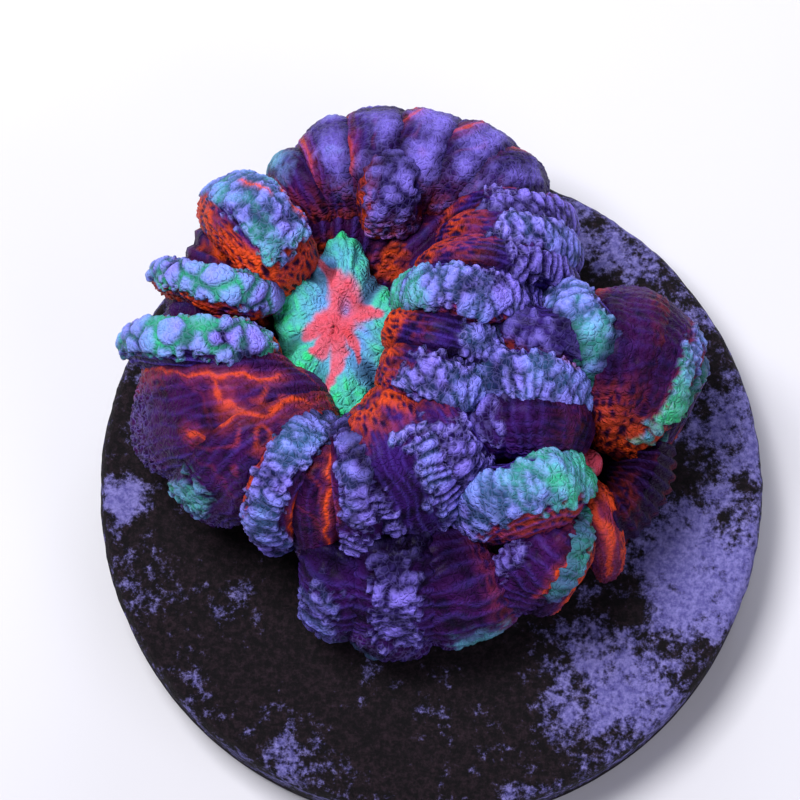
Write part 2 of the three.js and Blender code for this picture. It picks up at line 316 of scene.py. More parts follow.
@dataclass(frozen=True)
class WetCoralTissue:
    """Living tissue over a hidden skeleton: wet, with a dull sheen and pigment in bands.

    Dark flesh shows between the raised bands. Thin bright rims outline the small blisters on
    the bands, orange pigment forms a net with dark pits, and the tips run to cyan and green.
    Sizes are in millimetres.
    """

    flesh_dark: str = "#0f071e"
    flesh: str = "#2d1463"
    flesh_line: str = "#5c46bc"
    maroon: str = "#3d0e34"
    # The bands' pigment, partly painted light and shade: the first colour is it darkened in the creases of
    # the relief, the next it lightened on the raised tops
    band_shaded: str = "#150c3a"
    band: str = "#8b7af5"
    band_rim: str = "#aba0ff"
    cyan: str = "#62aee8"
    green: str = "#35cf80"
    orange_pit: str = "#260914"
    orange: str = "#ea5118"
    pink: str = "#df4d55"
    # Painted shade: near black laid in the creases between lobes, over their inner ends, under the oral disc
    # and over the flesh beneath the lobes
    groove_shade: str = "#07030c"
    gleam: str = "#8a6cf0"
    vesicle_size: float = 0.46
    bend_size: float = 1.0
    bend_reach: float = 0.8
    mottle_size: float = 1.9
    grain_size: float = 0.14
    relief: float = 0.12
    relief_strength: float = 0.8
    grain_share: float = 0.35

    def build(self) -> bpy.types.Material:
        """Lay the pigments over one another by the masks that the lobes carry.

        Returns:
            The material.
        """
        material, tree = new_tree("wet_coral_tissue")
        place = add_node(tree, "ShaderNodeTexCoord").outputs["Object"]
        noises = ((self.bend_size, 3.0, 0.5), (self.mottle_size, 5.0, 0.65), (self.grain_size, 2.0, 0.5))
        sway, mottle, grain = (
            add_node(
                tree, "ShaderNodeTexNoise", links={"Vector": place},
                values={"Scale": 1 / (size * MM), "Detail": detail, "Roughness": roughness},
            )
            for size, detail, roughness in noises
        )
        bent = add_node(
            tree, "ShaderNodeVectorMath", {"operation": "MULTIPLY_ADD"},
            {0: sway.outputs["Color"], 2: place}, {1: (self.bend_reach * MM,) * 3},
        )
        vesicles = add_node(
            tree, "ShaderNodeTexVoronoi", {"feature": "DISTANCE_TO_EDGE"},
            {"Vector": bent.outputs[0]}, {"Scale": 1 / (self.vesicle_size * MM)},
        )
        spans = {
            "rims": (vesicles.outputs["Distance"], 0.17, 0.02),
            "domes": (vesicles.outputs["Distance"], 0.0, 0.3),
            "mottle": (mottle.outputs["Fac"], 0.36, 0.66),
            "patchy": (mottle.outputs["Fac"], 0.3, 0.6),
            "speckle": (grain.outputs["Fac"], -0.1, 0.5),
        }
        patterns = {
            label: add_node(
                tree, "ShaderNodeMapRange", {"interpolation_type": "SMOOTHSTEP"},
                {"Value": source}, {"From Min": low, "From Max": high},
            ).outputs["Result"]
            for label, (source, low, high) in spans.items()
        }
        colour = add_node(
            tree, "ShaderNodeMix", {"data_type": "RGBA"},
            {0: patterns["mottle"]}, {6: linear(self.flesh_dark), 7: linear(self.flesh)},
        ).outputs[2]
        layers = (
            ("maroon", self.maroon, "patchy"),
            ("lines", self.flesh_line, None),
            ("pit", self.orange_pit, None),
            # The band pigment: its darkened copy over the whole pad and its lightened copy on the raised
            # tops, as painted shade and highlight
            ("pad", self.band_shaded, None),
            ("dome", self.band, "speckle"),
            ("cyan", self.cyan, "speckle"),
            ("green", self.green, None),
            ("rim", self.band_rim, "rims"),
            ("orange", self.orange, "speckle"),
            ("pink", self.pink, None),
            # Painted shade, laid over every pigment
            ("groove_shade", self.groove_shade, None),
        )
        for label, pigment, pattern in layers:
            mask = add_node(tree, "ShaderNodeAttribute", {"attribute_name": label}).outputs["Fac"]
            if pattern:
                links = {0: mask, 1: patterns[pattern]}
                mask = add_node(tree, "ShaderNodeMath", {"operation": "MULTIPLY"}, links).outputs[0]
            colour = add_node(
                tree, "ShaderNodeMix", {"data_type": "RGBA"}, {0: mask, 6: colour}, {7: linear(pigment)}
            ).outputs[2]
        height = add_node(
            tree, "ShaderNodeMath", {"operation": "MULTIPLY_ADD"},
            {0: grain.outputs["Fac"], 2: patterns["domes"]}, {1: self.grain_share},
        )
        bump = add_node(
            tree, "ShaderNodeBump", links={"Height": height.outputs[0]},
            values={"Strength": self.relief_strength, "Distance": self.relief * MM},
        )
        shader = add_node(
            tree, "ShaderNodeBsdfPrincipled",
            links={"Base Color": colour, "Normal": bump.outputs["Normal"]},
            values={
                "Roughness": 0.5, "IOR": 1.38, "Coat Weight": 0.02, "Coat Roughness": 0.25,
                "Specular IOR Level": 0.2, "Specular Tint": linear(self.gleam),
            },
        )
        add_node(tree, "ShaderNodeOutputMaterial", links={"Surface": shader.outputs["BSDF"]})
        return material


@dataclass(frozen=True)
class CrustedCeramic:
    """Unglazed fired clay under dark turf algae and patches of pale purple coralline crust.

    The turf is matt and nearly black. The crust is a thin chalky skin with ragged edges, which
    gives the lavender patches and the speckles on the rim. Sizes are in millimetres.
    """

    turf: str = "#0a070c"
    turf_brown: str = "#2b1e27"
    clay: str = "#37303f"
    crust: str = "#57529a"
    crust_pale: str = "#918bd2"
    ragged_size: float = 1.5
    fuzz_size: float = 0.4
    relief: float = 0.3

    def build(self) -> bpy.types.Material:
        """Mix turf, bare clay and crust, whose edge is where its density and a noise cross a level.

        Returns:
            The material.
        """
        material, tree = new_tree("crusted_ceramic")
        place = add_node(tree, "ShaderNodeTexCoord").outputs["Object"]
        ragged, fuzz = (
            add_node(
                tree, "ShaderNodeTexNoise", links={"Vector": place},
                values={"Scale": 1 / (size * MM), "Detail": 8.0, "Roughness": 0.72},
            ).outputs["Fac"]
            for size in (self.ragged_size, self.fuzz_size)
        )
        level, clay = (
            add_node(tree, "ShaderNodeAttribute", {"attribute_name": label}).outputs["Fac"]
            for label in ("crust", "clay")
        )
        for noise, weight in ((ragged, 1.6), (fuzz, 0.9)):
            level = add_node(
                tree, "ShaderNodeMath", {"operation": "MULTIPLY_ADD"}, {0: noise, 2: level}, {1: weight}
            ).outputs[0]
        spans = ((fuzz, 0.4, 0.7), (level, 1.75, 2.1), (fuzz, 0.35, 0.72))
        brown, covered, pale = (
            add_node(
                tree, "ShaderNodeMapRange", {"interpolation_type": "SMOOTHSTEP"},
                {"Value": source}, {"From Min": low, "From Max": high},
            ).outputs["Result"]
            for source, low, high in spans
        )
        chalk, turf = (
            add_node(
                tree, "ShaderNodeMix", {"data_type": "RGBA"}, {0: share}, {6: linear(low), 7: linear(high)}
            ).outputs[2]
            for share, low, high in ((pale, self.crust, self.crust_pale), (brown, self.turf, self.turf_brown))
        )
        bare = add_node(
            tree, "ShaderNodeMix", {"data_type": "RGBA"}, {0: clay, 6: turf}, {7: linear(self.clay)}
        ).outputs[2]
        links = {0: covered, 6: bare, 7: chalk}
        colour = add_node(tree, "ShaderNodeMix", {"data_type": "RGBA"}, links).outputs[2]
        bump = add_node(
            tree, "ShaderNodeBump", links={"Height": fuzz},
            values={"Strength": 1.0, "Distance": self.relief * MM},
        )
        shader = add_node(
            tree, "ShaderNodeBsdfPrincipled",
            links={"Base Color": colour, "Normal": bump.outputs["Normal"]},
            values={"Roughness": 0.85, "IOR": 1.5, "Specular IOR Level": 0.2},
        )
        add_node(tree, "ShaderNodeOutputMaterial", links={"Surface": shader.outputs["BSDF"]})
        return material


@dataclass(frozen=True)
class PaleBoard:
    """Painted board, matt and nearly white, under the coral."""

    colour: str = "#d9d8de"
    cloud: str = "#d3d2d9"
    cloud_size: float = 40.0

    def build(self) -> bpy.types.Material:
        """Mix two nearly equal whites in wide clouds.

        Returns:
            The material.
        """
        material, tree = new_tree("pale_board")
        place = add_node(tree, "ShaderNodeTexCoord").outputs["Object"]
        clouds = add_node(
            tree, "ShaderNodeTexNoise", links={"Vector": place},
            values={"Scale": 1 / (self.cloud_size * MM)},
        )
        colour = add_node(
            tree, "ShaderNodeMix", {"data_type": "RGBA"},
            {0: clouds.outputs["Fac"]}, {6: linear(self.colour), 7: linear(self.cloud)},
        )
        shader = add_node(
            tree, "ShaderNodeBsdfPrincipled",
            links={"Base Color": colour.outputs[2]}, values={"Roughness": 0.85, "IOR": 1.45},
        )
        add_node(tree, "ShaderNodeOutputMaterial", links={"Surface": shader.outputs["BSDF"]})
        return material


TISSUE_MASKS = (
    "pad", "dome", "cyan", "rim", "lines", "pit", "orange", "maroon", "green", "pink", "groove_shade",
)


def tissue_masks(shape: tuple[int, ...], given: dict[str, Array | float]) -> dict[str, Array]:
    """Complete the masks that the tissue's material reads, with zeros for those not given.

    Args:
        shape: Rows and columns of the grid.
        given: Masks as arrays or as one value.

    Returns:
        Every mask as an array between 0 and 1.
    """
    return {label: np.broadcast_to(np.clip(given.get(label, 0.0), 0, 1), shape) for label in TISSUE_MASKS}


class Relief(Enum):
    """How a pigmented band on a lobe's back is raised."""

    BLISTERS = "blister"
    CRUMPLES = "crumple"
    FINGERS = "finger"
    SMOOTH = "swelling"


@dataclass(frozen=True)
class Pad:
    """A pigmented, raised band on a lobe.

    start and end are from 0 at the mouth to 1 at the outer end. middle and width are in
    degrees from the line of the lobe's back, positive to the left of someone who looks
    outwards from the mouth. cyan and green each have a value at the start and at the end.
    """

    start: float
    end: float
    middle: float = 0.0
    width: float = 48.0
    relief: Relief = Relief.CRUMPLES
    cyan: tuple[float, float] = (0.0, 0.0)
    green: tuple[float, float] = (0.0, 0.0)
    strength: float = 1.0


@dataclass(frozen=True)
class Streak:
    """A thin line of orange pigment from one place on a lobe to another.

    A place is how far along the lobe it is, and its degrees from the line of the back.
    """

    start: tuple[float, float]
    end: tuple[float, float]
    width: float = 0.3
    strength: float = 1.0


@dataclass(frozen=True)
class Dress:
    """Pigments and relief of one lobe: its bands, and the strengths of what is between them.

    The orange net lies by the mouth and on either flank, and veins branch over the back.
    maroon tints the flesh, striation and folds are fine ridges along and across the lobe,
    mouth_shade darkens its inner end, and beads raise its outer hem.
    """

    pads: tuple[Pad, ...] = ()
    streaks: tuple[Streak, ...] = ()
    orange_mouth: float = 0.0
    orange_left: float = 0.0
    orange_right: float = 0.0
    veins: float = 0.0
    maroon: float = 0.0
    striation: float = 0.0
    folds: float = 0.0
    mouth_shade: float = 0.0
    beads: float = 0.4


@dataclass
class Lobe:
    """One fleshy lobe: a fat tube along a curve over the wall, closed and rounded at both ends.

    inner, crest and outer are places on its back, in millimetres. half and deep are half of
    its width and of its thickness. taper widens it outwards, and merge is how far away its
    neighbours still swell it, so that the two grow together.
    """

    name: str
    inner: Point
    crest: Point
    outer: Point
    half: float
    deep: float
    dress: Dress = Dress()
    taper: float = 0.0
    merge: float = 2.2

    # Rises in millimetres
    SKIN = 0.66
    PAD_RISE = 0.36
    TEXTURE_RISE = {Relief.BLISTERS: 0.40, Relief.CRUMPLES: 0.38, Relief.FINGERS: 0.30, Relief.SMOOTH: 0.16}
    BEAD_RISE = 0.26
    HEM_RISE = 0.42
    NET_RISE = 0.12
    STRIATION_RISE = 0.08
    LINE_RISE = 0.06
    FOLD_RISE = 0.1
    # Sizes of the noises and of the beads, the spacing of the folds and the lines, in millimetres
    WOBBLE_SIZE, BROAD_SIZE, DRIFT_SIZE = 1.5, 3.1, 1.3
    BEAD_SIZE = 0.54
    FOLD_SPACING = 0.78
    LINES_PER_MM = 8
    VEIN_SIZE = 1.9
    VEIN_WIDTH = 0.11
    # Cells along and across a lobe: their two sizes, their drift, their share of broad noise, their warp
    CELLS = {
        "net": ((0.9, 0.52), (1, -1), 0.4, 0.2),
        "blister": ((1.55, 2.6), (0, 0), 0.0, 0.16),
        "crumple": ((0.78, 2.5), (1, 0), 0.3, 0.12),
    }
    # The power of the section's superellipse
    FLATNESS = 0.82
    # The edge of a band: how far noise and beads push it, its width, and its beaded margin
    FRAY, BEAD_FRAY = 0.55, 1.1
    EDGE, SOFT_EDGE, MARGIN = 0.2, 1.8, 0.8
    SOFT_SHARE = 0.4
    # Ridges to a radian round the lobe
    RIDGES = 26
    # Samples of the axis and of the section, chords of the axis, and places that crowd a neighbour
    FINE_ROWS, FINE_TURNS, CHORDS, CROWD_PLACES = 2001, 1441, 60, 18

    def centre(self, along: Array) -> Array:
        """Place on the lobe's axis: a quadratic curve through both ends and the crest.

        Args:
            along: 0 at the mouth to 1 at the outer end.

        Returns:
            Places in millimetres.
        """
        drop = np.array([0.0, 0.0, self.deep])
        start, middle, end = (np.array(p) - drop for p in (self.inner, self.crest, self.outer))
        handle = 2.0 * middle - (start + end) / 2.0
        t = np.asarray(along)[..., None]
        return (1 - t) ** 2 * start + 2 * t * (1 - t) * handle + t**2 * end

    def axes(self, along: Array) -> tuple[Array, Array]:
        """Directions across the lobe: level to the left, and up at right angles to the axis.

        Args:
            along: 0 at the mouth to 1 at the outer end.

        Returns:
            The left and the up directions, unit vectors.
        """
        step = 1e-3
        tangent = self.centre(np.minimum(along + step, 1)) - self.centre(np.maximum(along - step, 0))
        tangent /= np.linalg.norm(tangent, axis=-1, keepdims=True)
        left = np.cross(np.array([0.0, 0.0, 1.0]), tangent)
        left /= np.linalg.norm(left, axis=-1, keepdims=True)
        return left, np.cross(tangent, left)

    @staticmethod
    def fullness(along: Array) -> Array:
        """Girth along the lobe: the square root of one minus a fourth power, so round ended."""
        return np.sqrt(np.clip(1.0 - np.abs(2.0 * along - 1.0) ** 4, 0.0, 1.0))

    def half_width(self, along: Array) -> Array:
        """Half of the lobe's width along it: half by the fullness, widened outwards by the taper."""
        return self.half * self.fullness(along) * (1.0 + self.taper * (2.0 * along - 1.0))

    def length(self) -> float:
        """Length of the axis, summed over short chords."""
        places = self.centre(np.linspace(0, 1, self.CHORDS))
        return float(np.linalg.norm(np.diff(places, axis=0), axis=1).sum())

    def girth(self) -> float:
        """Mean radius of the lobe's section."""
        return (self.half + self.deep) / 2.0

    def stations(self) -> tuple[Array, Array]:
        """Places along and round the lobe, evenly spaced on its back and wider underneath.

        Returns:
            Values of along for the rows and angles for the columns, with 90 degrees on the back.
        """
        fine = (1.0 - np.cos(np.linspace(0, np.pi, self.FINE_ROWS))) / 2.0
        steps = np.hypot(np.diff(fine) * self.length(), np.diff(self.fullness(fine)) * self.girth())
        travelled = np.concatenate([[0.0], np.cumsum(steps)])
        rows = int(math.ceil(travelled[-1] / LOBE_STEP)) + 1
        along = np.interp(np.linspace(0, travelled[-1], rows), travelled, fine)
        turn = np.linspace(-np.pi / 2, 1.5 * np.pi, self.FINE_TURNS)
        density = 1.0 + (UNDERSIDE_COARSENING - 1.0) * smooth_step(-0.7, 0.3, np.sin(turn))
        passed = np.concatenate([[0.0], np.cumsum((density[1:] + density[:-1]) / 2)])
        columns = int(np.pi * self.girth() / LOBE_STEP * (1.0 + 1.0 / UNDERSIDE_COARSENING))
        share = np.arange(columns) / columns * passed[-1]
        return along, np.interp(share, passed, turn)

    def surface(self, along: Array, angle: Array, rise: Array) -> Array:
        """The lobe's skin: its axis plus an oval section scaled by its fullness.

        The section is a superellipse: cosine and sine are raised to a power under 1.

        Args:
            along: 0 to 1 along the lobe.
            angle: Radians round it, a right angle on its back.
            rise: Extra radius in millimetres.

        Returns:
            Places in millimetres.
        """
        left, up = self.axes(along)
        level, steep = np.cos(angle), np.sin(angle)
        across = (self.half_width(along) + rise) * np.sign(level) * np.abs(level) ** self.FLATNESS
        lift = self.deep * self.fullness(along) + rise
        lift = lift * np.sign(steep) * np.abs(steep) ** self.FLATNESS
        return self.centre(along) + across[..., None] * left + lift[..., None] * up

    def crowding(self, points: Array) -> Array:
        """How deep places are in this lobe: distance from its axis over its radius there.

        Args:
            points: Places in millimetres.

        Returns:
            The least ratio over the axis's stations, under 1 inside the lobe.
        """
        along = np.linspace(0.04, 0.96, self.CROWD_PLACES)
        centre = self.centre(along)
        left, up = self.axes(along)
        halves, depths = self.half_width(along), self.deep * self.fullness(along)
        least = np.full(points.shape[:-1], FAR)
        for i in range(len(along)):
            apart = points - centre[i]
            ratio = (apart @ left[i]) ** 2 / halves[i] ** 2
            ratio += (apart @ up[i]) ** 2 / depths[i] ** 2
            ratio += (apart @ np.cross(left[i], up[i])) ** 2 / self.half**2
            least = np.minimum(least, ratio)
        return np.sqrt(least)

    def patterns(self, plain: Array, travelled: Array, around: Array, noise: Noise) -> dict[str, Array]:
        """Work out the textures that the relief and the pigments share.

        Args:
            plain: Places on the bare form.
            travelled: Millimetres along the lobe.
            around: Millimetres across the lobe from the line of its back.
            noise: The lobe's own noise.

        Returns:
            Named textures, most of them between 0 and 1, and the noises wobble and broad.
        """
        wobble = noise.fractal(plain, self.WOBBLE_SIZE, 3)
        broad = noise.smooth(plain, self.BROAD_SIZE)
        drift = 0.5 * noise.smooth(plain, self.DRIFT_SIZE)
        gap_bead, bead_cell = noise.cells(plain + 0.4 * wobble[..., None], self.BEAD_SIZE)
        bead = np.sqrt(smooth_step(0.0, 0.5, gap_bead))
        gaps = {}
        for label, (size, sway, share, warp) in self.CELLS.items():
            spots = [travelled / size[0] + sway[0] * drift, around / size[1] + sway[1] * drift, share * broad]
            gaps[label], _ = noise.cells(np.stack(spots, axis=-1) + warp * wobble[..., None], 1.0)
        phase = 4.6 * noise.smooth(plain, 1.5) + 1.6 * wobble
        fold = np.sin(2 * np.pi * travelled / self.FOLD_SPACING + phase)
        branches = noise.fractal(plain + 9.0, self.VEIN_SIZE, 2)
        return {
            "wobble": wobble,
            "broad": broad,
            "bead": bead,
            "cell": bead_cell,
            "net": smooth_step(0.4, 0.06, gaps["net"]),
            "vein": smooth_step(self.VEIN_WIDTH, 0.01, np.abs(branches)),
            "line": np.sin(around * self.LINES_PER_MM + 4 * noise.smooth(plain, 2.0)),
            "fold": fold,
            "blister": 0.86 * np.sqrt(smooth_step(0.0, 0.42, gaps["blister"])) + 0.14 * bead,
            "crumple": 0.58 * np.sqrt(smooth_step(0.0, 0.5, gaps["crumple"])) + 0.26 * bead
            + 0.08 * (1 + wobble),
            "finger": np.sqrt(smooth_step(-0.95, 0.7, fold)) * (0.65 + 0.35 * bead) + 0.12 * wobble,
            "swelling": 0.5 + 0.55 * wobble + 0.3 * broad + 0.12 * bead,
        }

    def paint_pads(self, along: Array, across: Array, look: dict[str, Array]) -> dict[str, Array]:
        """Raise and colour the bands, one over another.

        A band's mask rises over the distance to its nearest edge, which is pushed about by
        noise and by whole beads. Near the edge beads take the place of the band's own texture.

        Args:
            along: 0 to 1 along the lobe.
            across: Degrees from the line of the back.
            look: The shared textures.

        Returns:
            Rise in millimetres, and the masks of the bands.
        """
        names = ("rise", "pad", "dome", "cyan", "green", "rim")
        total = {name: np.zeros_like(along) for name in names}
        for pad in self.dress.pads:
            soft, blistered = pad.relief is Relief.SMOOTH, pad.relief is Relief.BLISTERS
            inside = np.minimum(along - pad.start, pad.end - along) * self.length()
            beside = (pad.width - np.abs(across - pad.middle)) * np.radians(1.0) * self.girth()
            edge = np.minimum(inside, beside)
            edge = edge + self.FRAY * look["wobble"] + self.BEAD_FRAY * (look["cell"] - 0.5)
            mask = smooth_step(-0.08, self.SOFT_EDGE if soft else self.EDGE, edge)
            margin = smooth_step(self.MARGIN, 0.1, edge + 0.5 * look["broad"])
            margin *= 0.7 if soft or blistered else 1.0
            texture = look[pad.relief.value] * (1 - margin) + look["bead"] * margin
            depth = self.TEXTURE_RISE[pad.relief] * (1 - margin) + self.BEAD_RISE * margin
            lift = self.PAD_RISE * (self.SOFT_SHARE if soft else 1.0)
            place = np.clip((along - pad.start) / (pad.end - pad.start), 0.0, 1.0)
            tint, leafy = (low + (high - low) * place for low, high in (pad.cyan, pad.green))
            crease = 0.2 + 1.1 * (1 - texture) if blistered else 1.0
            leafy = np.clip(leafy * 1.2 - 0.3 + 0.6 * look["wobble"], 0, 1) * crease
            tint = np.clip(tint + 0.4 * look["wobble"] + 0.3 * look["broad"], 0, 1) * (tint > 0)
            new = {
                "pad": pad.strength,
                # Painted highlight: dome lightens the band on the raised tops of the texture and cyan gathers
                # there too, leaving the darker copy in the creases
                "dome": smooth_step(0.3, 0.9, texture) * pad.strength * (1.0 - 0.4 * margin),
                "cyan": tint * (0.3 + 0.7 * texture**2) * pad.strength * (1.0 - 0.5 * margin),
                "green": leafy * pad.strength,
                "rim": (0.18 + 0.26 * margin) * (0.25 + 0.75 * texture) * pad.strength,
            }
            total["rise"] += mask * (lift + depth * (texture - 0.5))
            for name, value in new.items():
                total[name] = total[name] * (1 - mask) + mask * value
        return total

    def paint_orange(self, along: Array, across: Array, look: dict[str, Array]) -> tuple[Array, Array]:
        """Spread orange pigment by the mouth and on the flanks, and draw its streaks and veins.

        A streak is the distance to a line between two places, with the places pushed about by
        noise, so that it wanders and breaks up, and with a faint glow beside it.

        Args:
            along: 0 to 1 along the lobe.
            across: Degrees from the line of the back.
            look: The shared textures.

        Returns:
            Where the orange net lies, and how solid the orange is without its pits.
        """
        dress, wobble, broad = self.dress, look["wobble"], look["broad"]
        scale = np.array([self.length(), np.radians(1.0) * self.girth()])
        net = smooth_step(0.46, 0.2, along + 0.14 * wobble) * dress.orange_mouth
        for aside, strength in ((across, dress.orange_left), (-across, dress.orange_right)):
            flank = smooth_step(20.0, 48.0, aside + 20 * broad) * smooth_step(128, 96, aside)
            net = np.maximum(net, flank * strength)
        net = net * smooth_step(-0.45, 0.15, wobble + 0.3 * broad + 0.15)
        solid = np.zeros_like(along)
        for streak in dress.streaks:
            start, end = np.array(streak.start) * scale, np.array(streak.end) * scale
            shift = np.stack([0.8 * wobble, 1.2 * broad + 0.9 * wobble], axis=-1)
            here = np.stack([along, across], axis=-1) * scale + shift - start
            span = end - start
            t = np.clip((here @ span) / (span @ span), 0.0, 1.0)
            off = np.linalg.norm(here - t[..., None] * span, axis=-1)
            width = streak.width * (1.0 + 0.5 * look["cell"])
            line = smooth_step(width, width * 0.2, off) * smooth_step(-0.5, 0.2, wobble + 0.4)
            glow = 0.34 * smooth_step(streak.width * 5.0, 0.0, off) * (0.6 + 0.4 * look["bead"])
            solid = np.maximum(solid, streak.strength * np.maximum(line, glow))
        reached = smooth_step(0.72, 0.4, along + 0.2 * broad) * smooth_step(0.04, 0.12, along)
        vein = look["vein"] * reached * smooth_step(-0.3, 0.35, broad) * dress.veins
        return net * (0.8 + 0.35 * wobble), np.maximum(solid, vein)

    def build(self, neighbours: list["Lobe"], seed: int) -> bpy.types.Object:
        """Work out the skin, its relief and its pigment masks, and make the mesh.

        The relief is added along the normal of the plain form. Where a neighbour is near, a
        fillet that grows with the square of the closeness joins the two.

        Args:
            neighbours: The other lobes, which crowd this one and set where shade is painted in the grooves.
            seed: Number that makes this lobe's noise its own.

        Returns:
            The lobe's object.
        """
        along, angle = np.meshgrid(*self.stations(), indexing="ij")
        full = self.fullness(along)
        plain = self.surface(along, angle, -self.SKIN * np.clip(full * 1.5, 0, 1))
        across = (np.degrees(np.pi / 2 - angle) + 180.0) % 360.0 - 180.0
        travelled, around = along * self.length(), np.radians(across) * self.girth()
        back = smooth_step(150.0, 105.0, np.abs(across))
        look = self.patterns(plain, travelled, around, Noise(seed))
        bands = self.paint_pads(along, across, look)
        net, solid = self.paint_orange(along, across, look)
        bare = 1.0 - bands["pad"]
        dress, wobble, broad = self.dress, look["wobble"], look["broad"]

        hem = smooth_step(0.7, 0.88, along + 0.06 * wobble) * dress.beads * bare
        ridge = np.sin(np.radians(across) * self.RIDGES + 6 * broad + 3 * wobble)
        ridge *= 0.55 + 0.45 * wobble
        flank = smooth_step(40, 65, np.abs(across))
        rise = bands["rise"] + self.NET_RISE * look["net"] * net * bare
        rise += self.HEM_RISE * hem * (look["bead"] - 0.3) + self.STRIATION_RISE * dress.striation * ridge
        rise += self.LINE_RISE * look["line"] * flank * bare + 0.1 * wobble + 0.12 * broad
        rise += self.FOLD_RISE * dress.folds * look["fold"] * bare

        crowd = np.full(along.shape, FAR)
        for other in neighbours:
            crowd = np.minimum(crowd, other.crowding(plain))
        apart = np.clip((crowd - 1.0) * self.girth(), 0.0, None)
        fillet = self.merge / 4.0 * np.clip(1.0 - apart / self.merge, 0.0, 1.0) ** 2
        # Painted shade: darker where a neighbour crowds close, and over the inner end by the mouth
        groove_shade = smooth_step(1.3, 1.0, crowd) * np.clip(1.15 - self.merge / 6.0, 0.0, 1.0)
        near_mouth = smooth_step(0.54, 0.3, along + 0.05 * broad)
        groove_shade = np.maximum(groove_shade, near_mouth * dress.mouth_shade)

        lift = (rise + fillet) * back * np.clip(full * 1.4, 0, 1)
        points = plain + grid_normals(plain) * lift[..., None]
        lines = smooth_step(0.35, 0.9, look["line"]) * (0.25 + 0.5 * flank) * (1.0 - 0.9 * dress.folds)
        lines += smooth_step(0.2, 0.8, ridge) * 0.3 * dress.striation
        lines += smooth_step(0.3, 0.95, look["fold"]) * 0.35 * dress.folds
        masks = {name: bands[name] * back for name in ("pad", "dome", "cyan", "green")}
        masks |= {
            "rim": (bands["rim"] + 0.2 * hem) * back,
            "lines": lines * back * (1.0 - 0.7 * dress.maroon),
            "pit": net * back,
            "orange": np.maximum(net * look["net"] * bare, solid) * back,
            "maroon": dress.maroon,
            "groove_shade": groove_shade * (1.0 - 0.6 * np.maximum(net, solid)),
        }
        return wrapped_mesh(self.name, points, tissue_masks(along.shape, masks))


BLISTERED_WEST = Dress(
    pads=(Pad(0.03, 1.0, 0, 50, Relief.BLISTERS, cyan=(0.3, 0.5), green=(0.5, 0.45)),),
    orange_left=0.9,
    orange_right=0.9,
    beads=0.6,
)
PURPLE_BACK = Dress(
    pads=(Pad(0.24, 1.0, -4, 50, Relief.SMOOTH, cyan=(-0.4, 0.2), strength=0.62),),
    streaks=(Streak((0.12, 44), (0.74, 52), 0.3, 0.5),),
    orange_mouth=0.4,
    veins=0.12,
    maroon=0.2,
    striation=0.6,
)


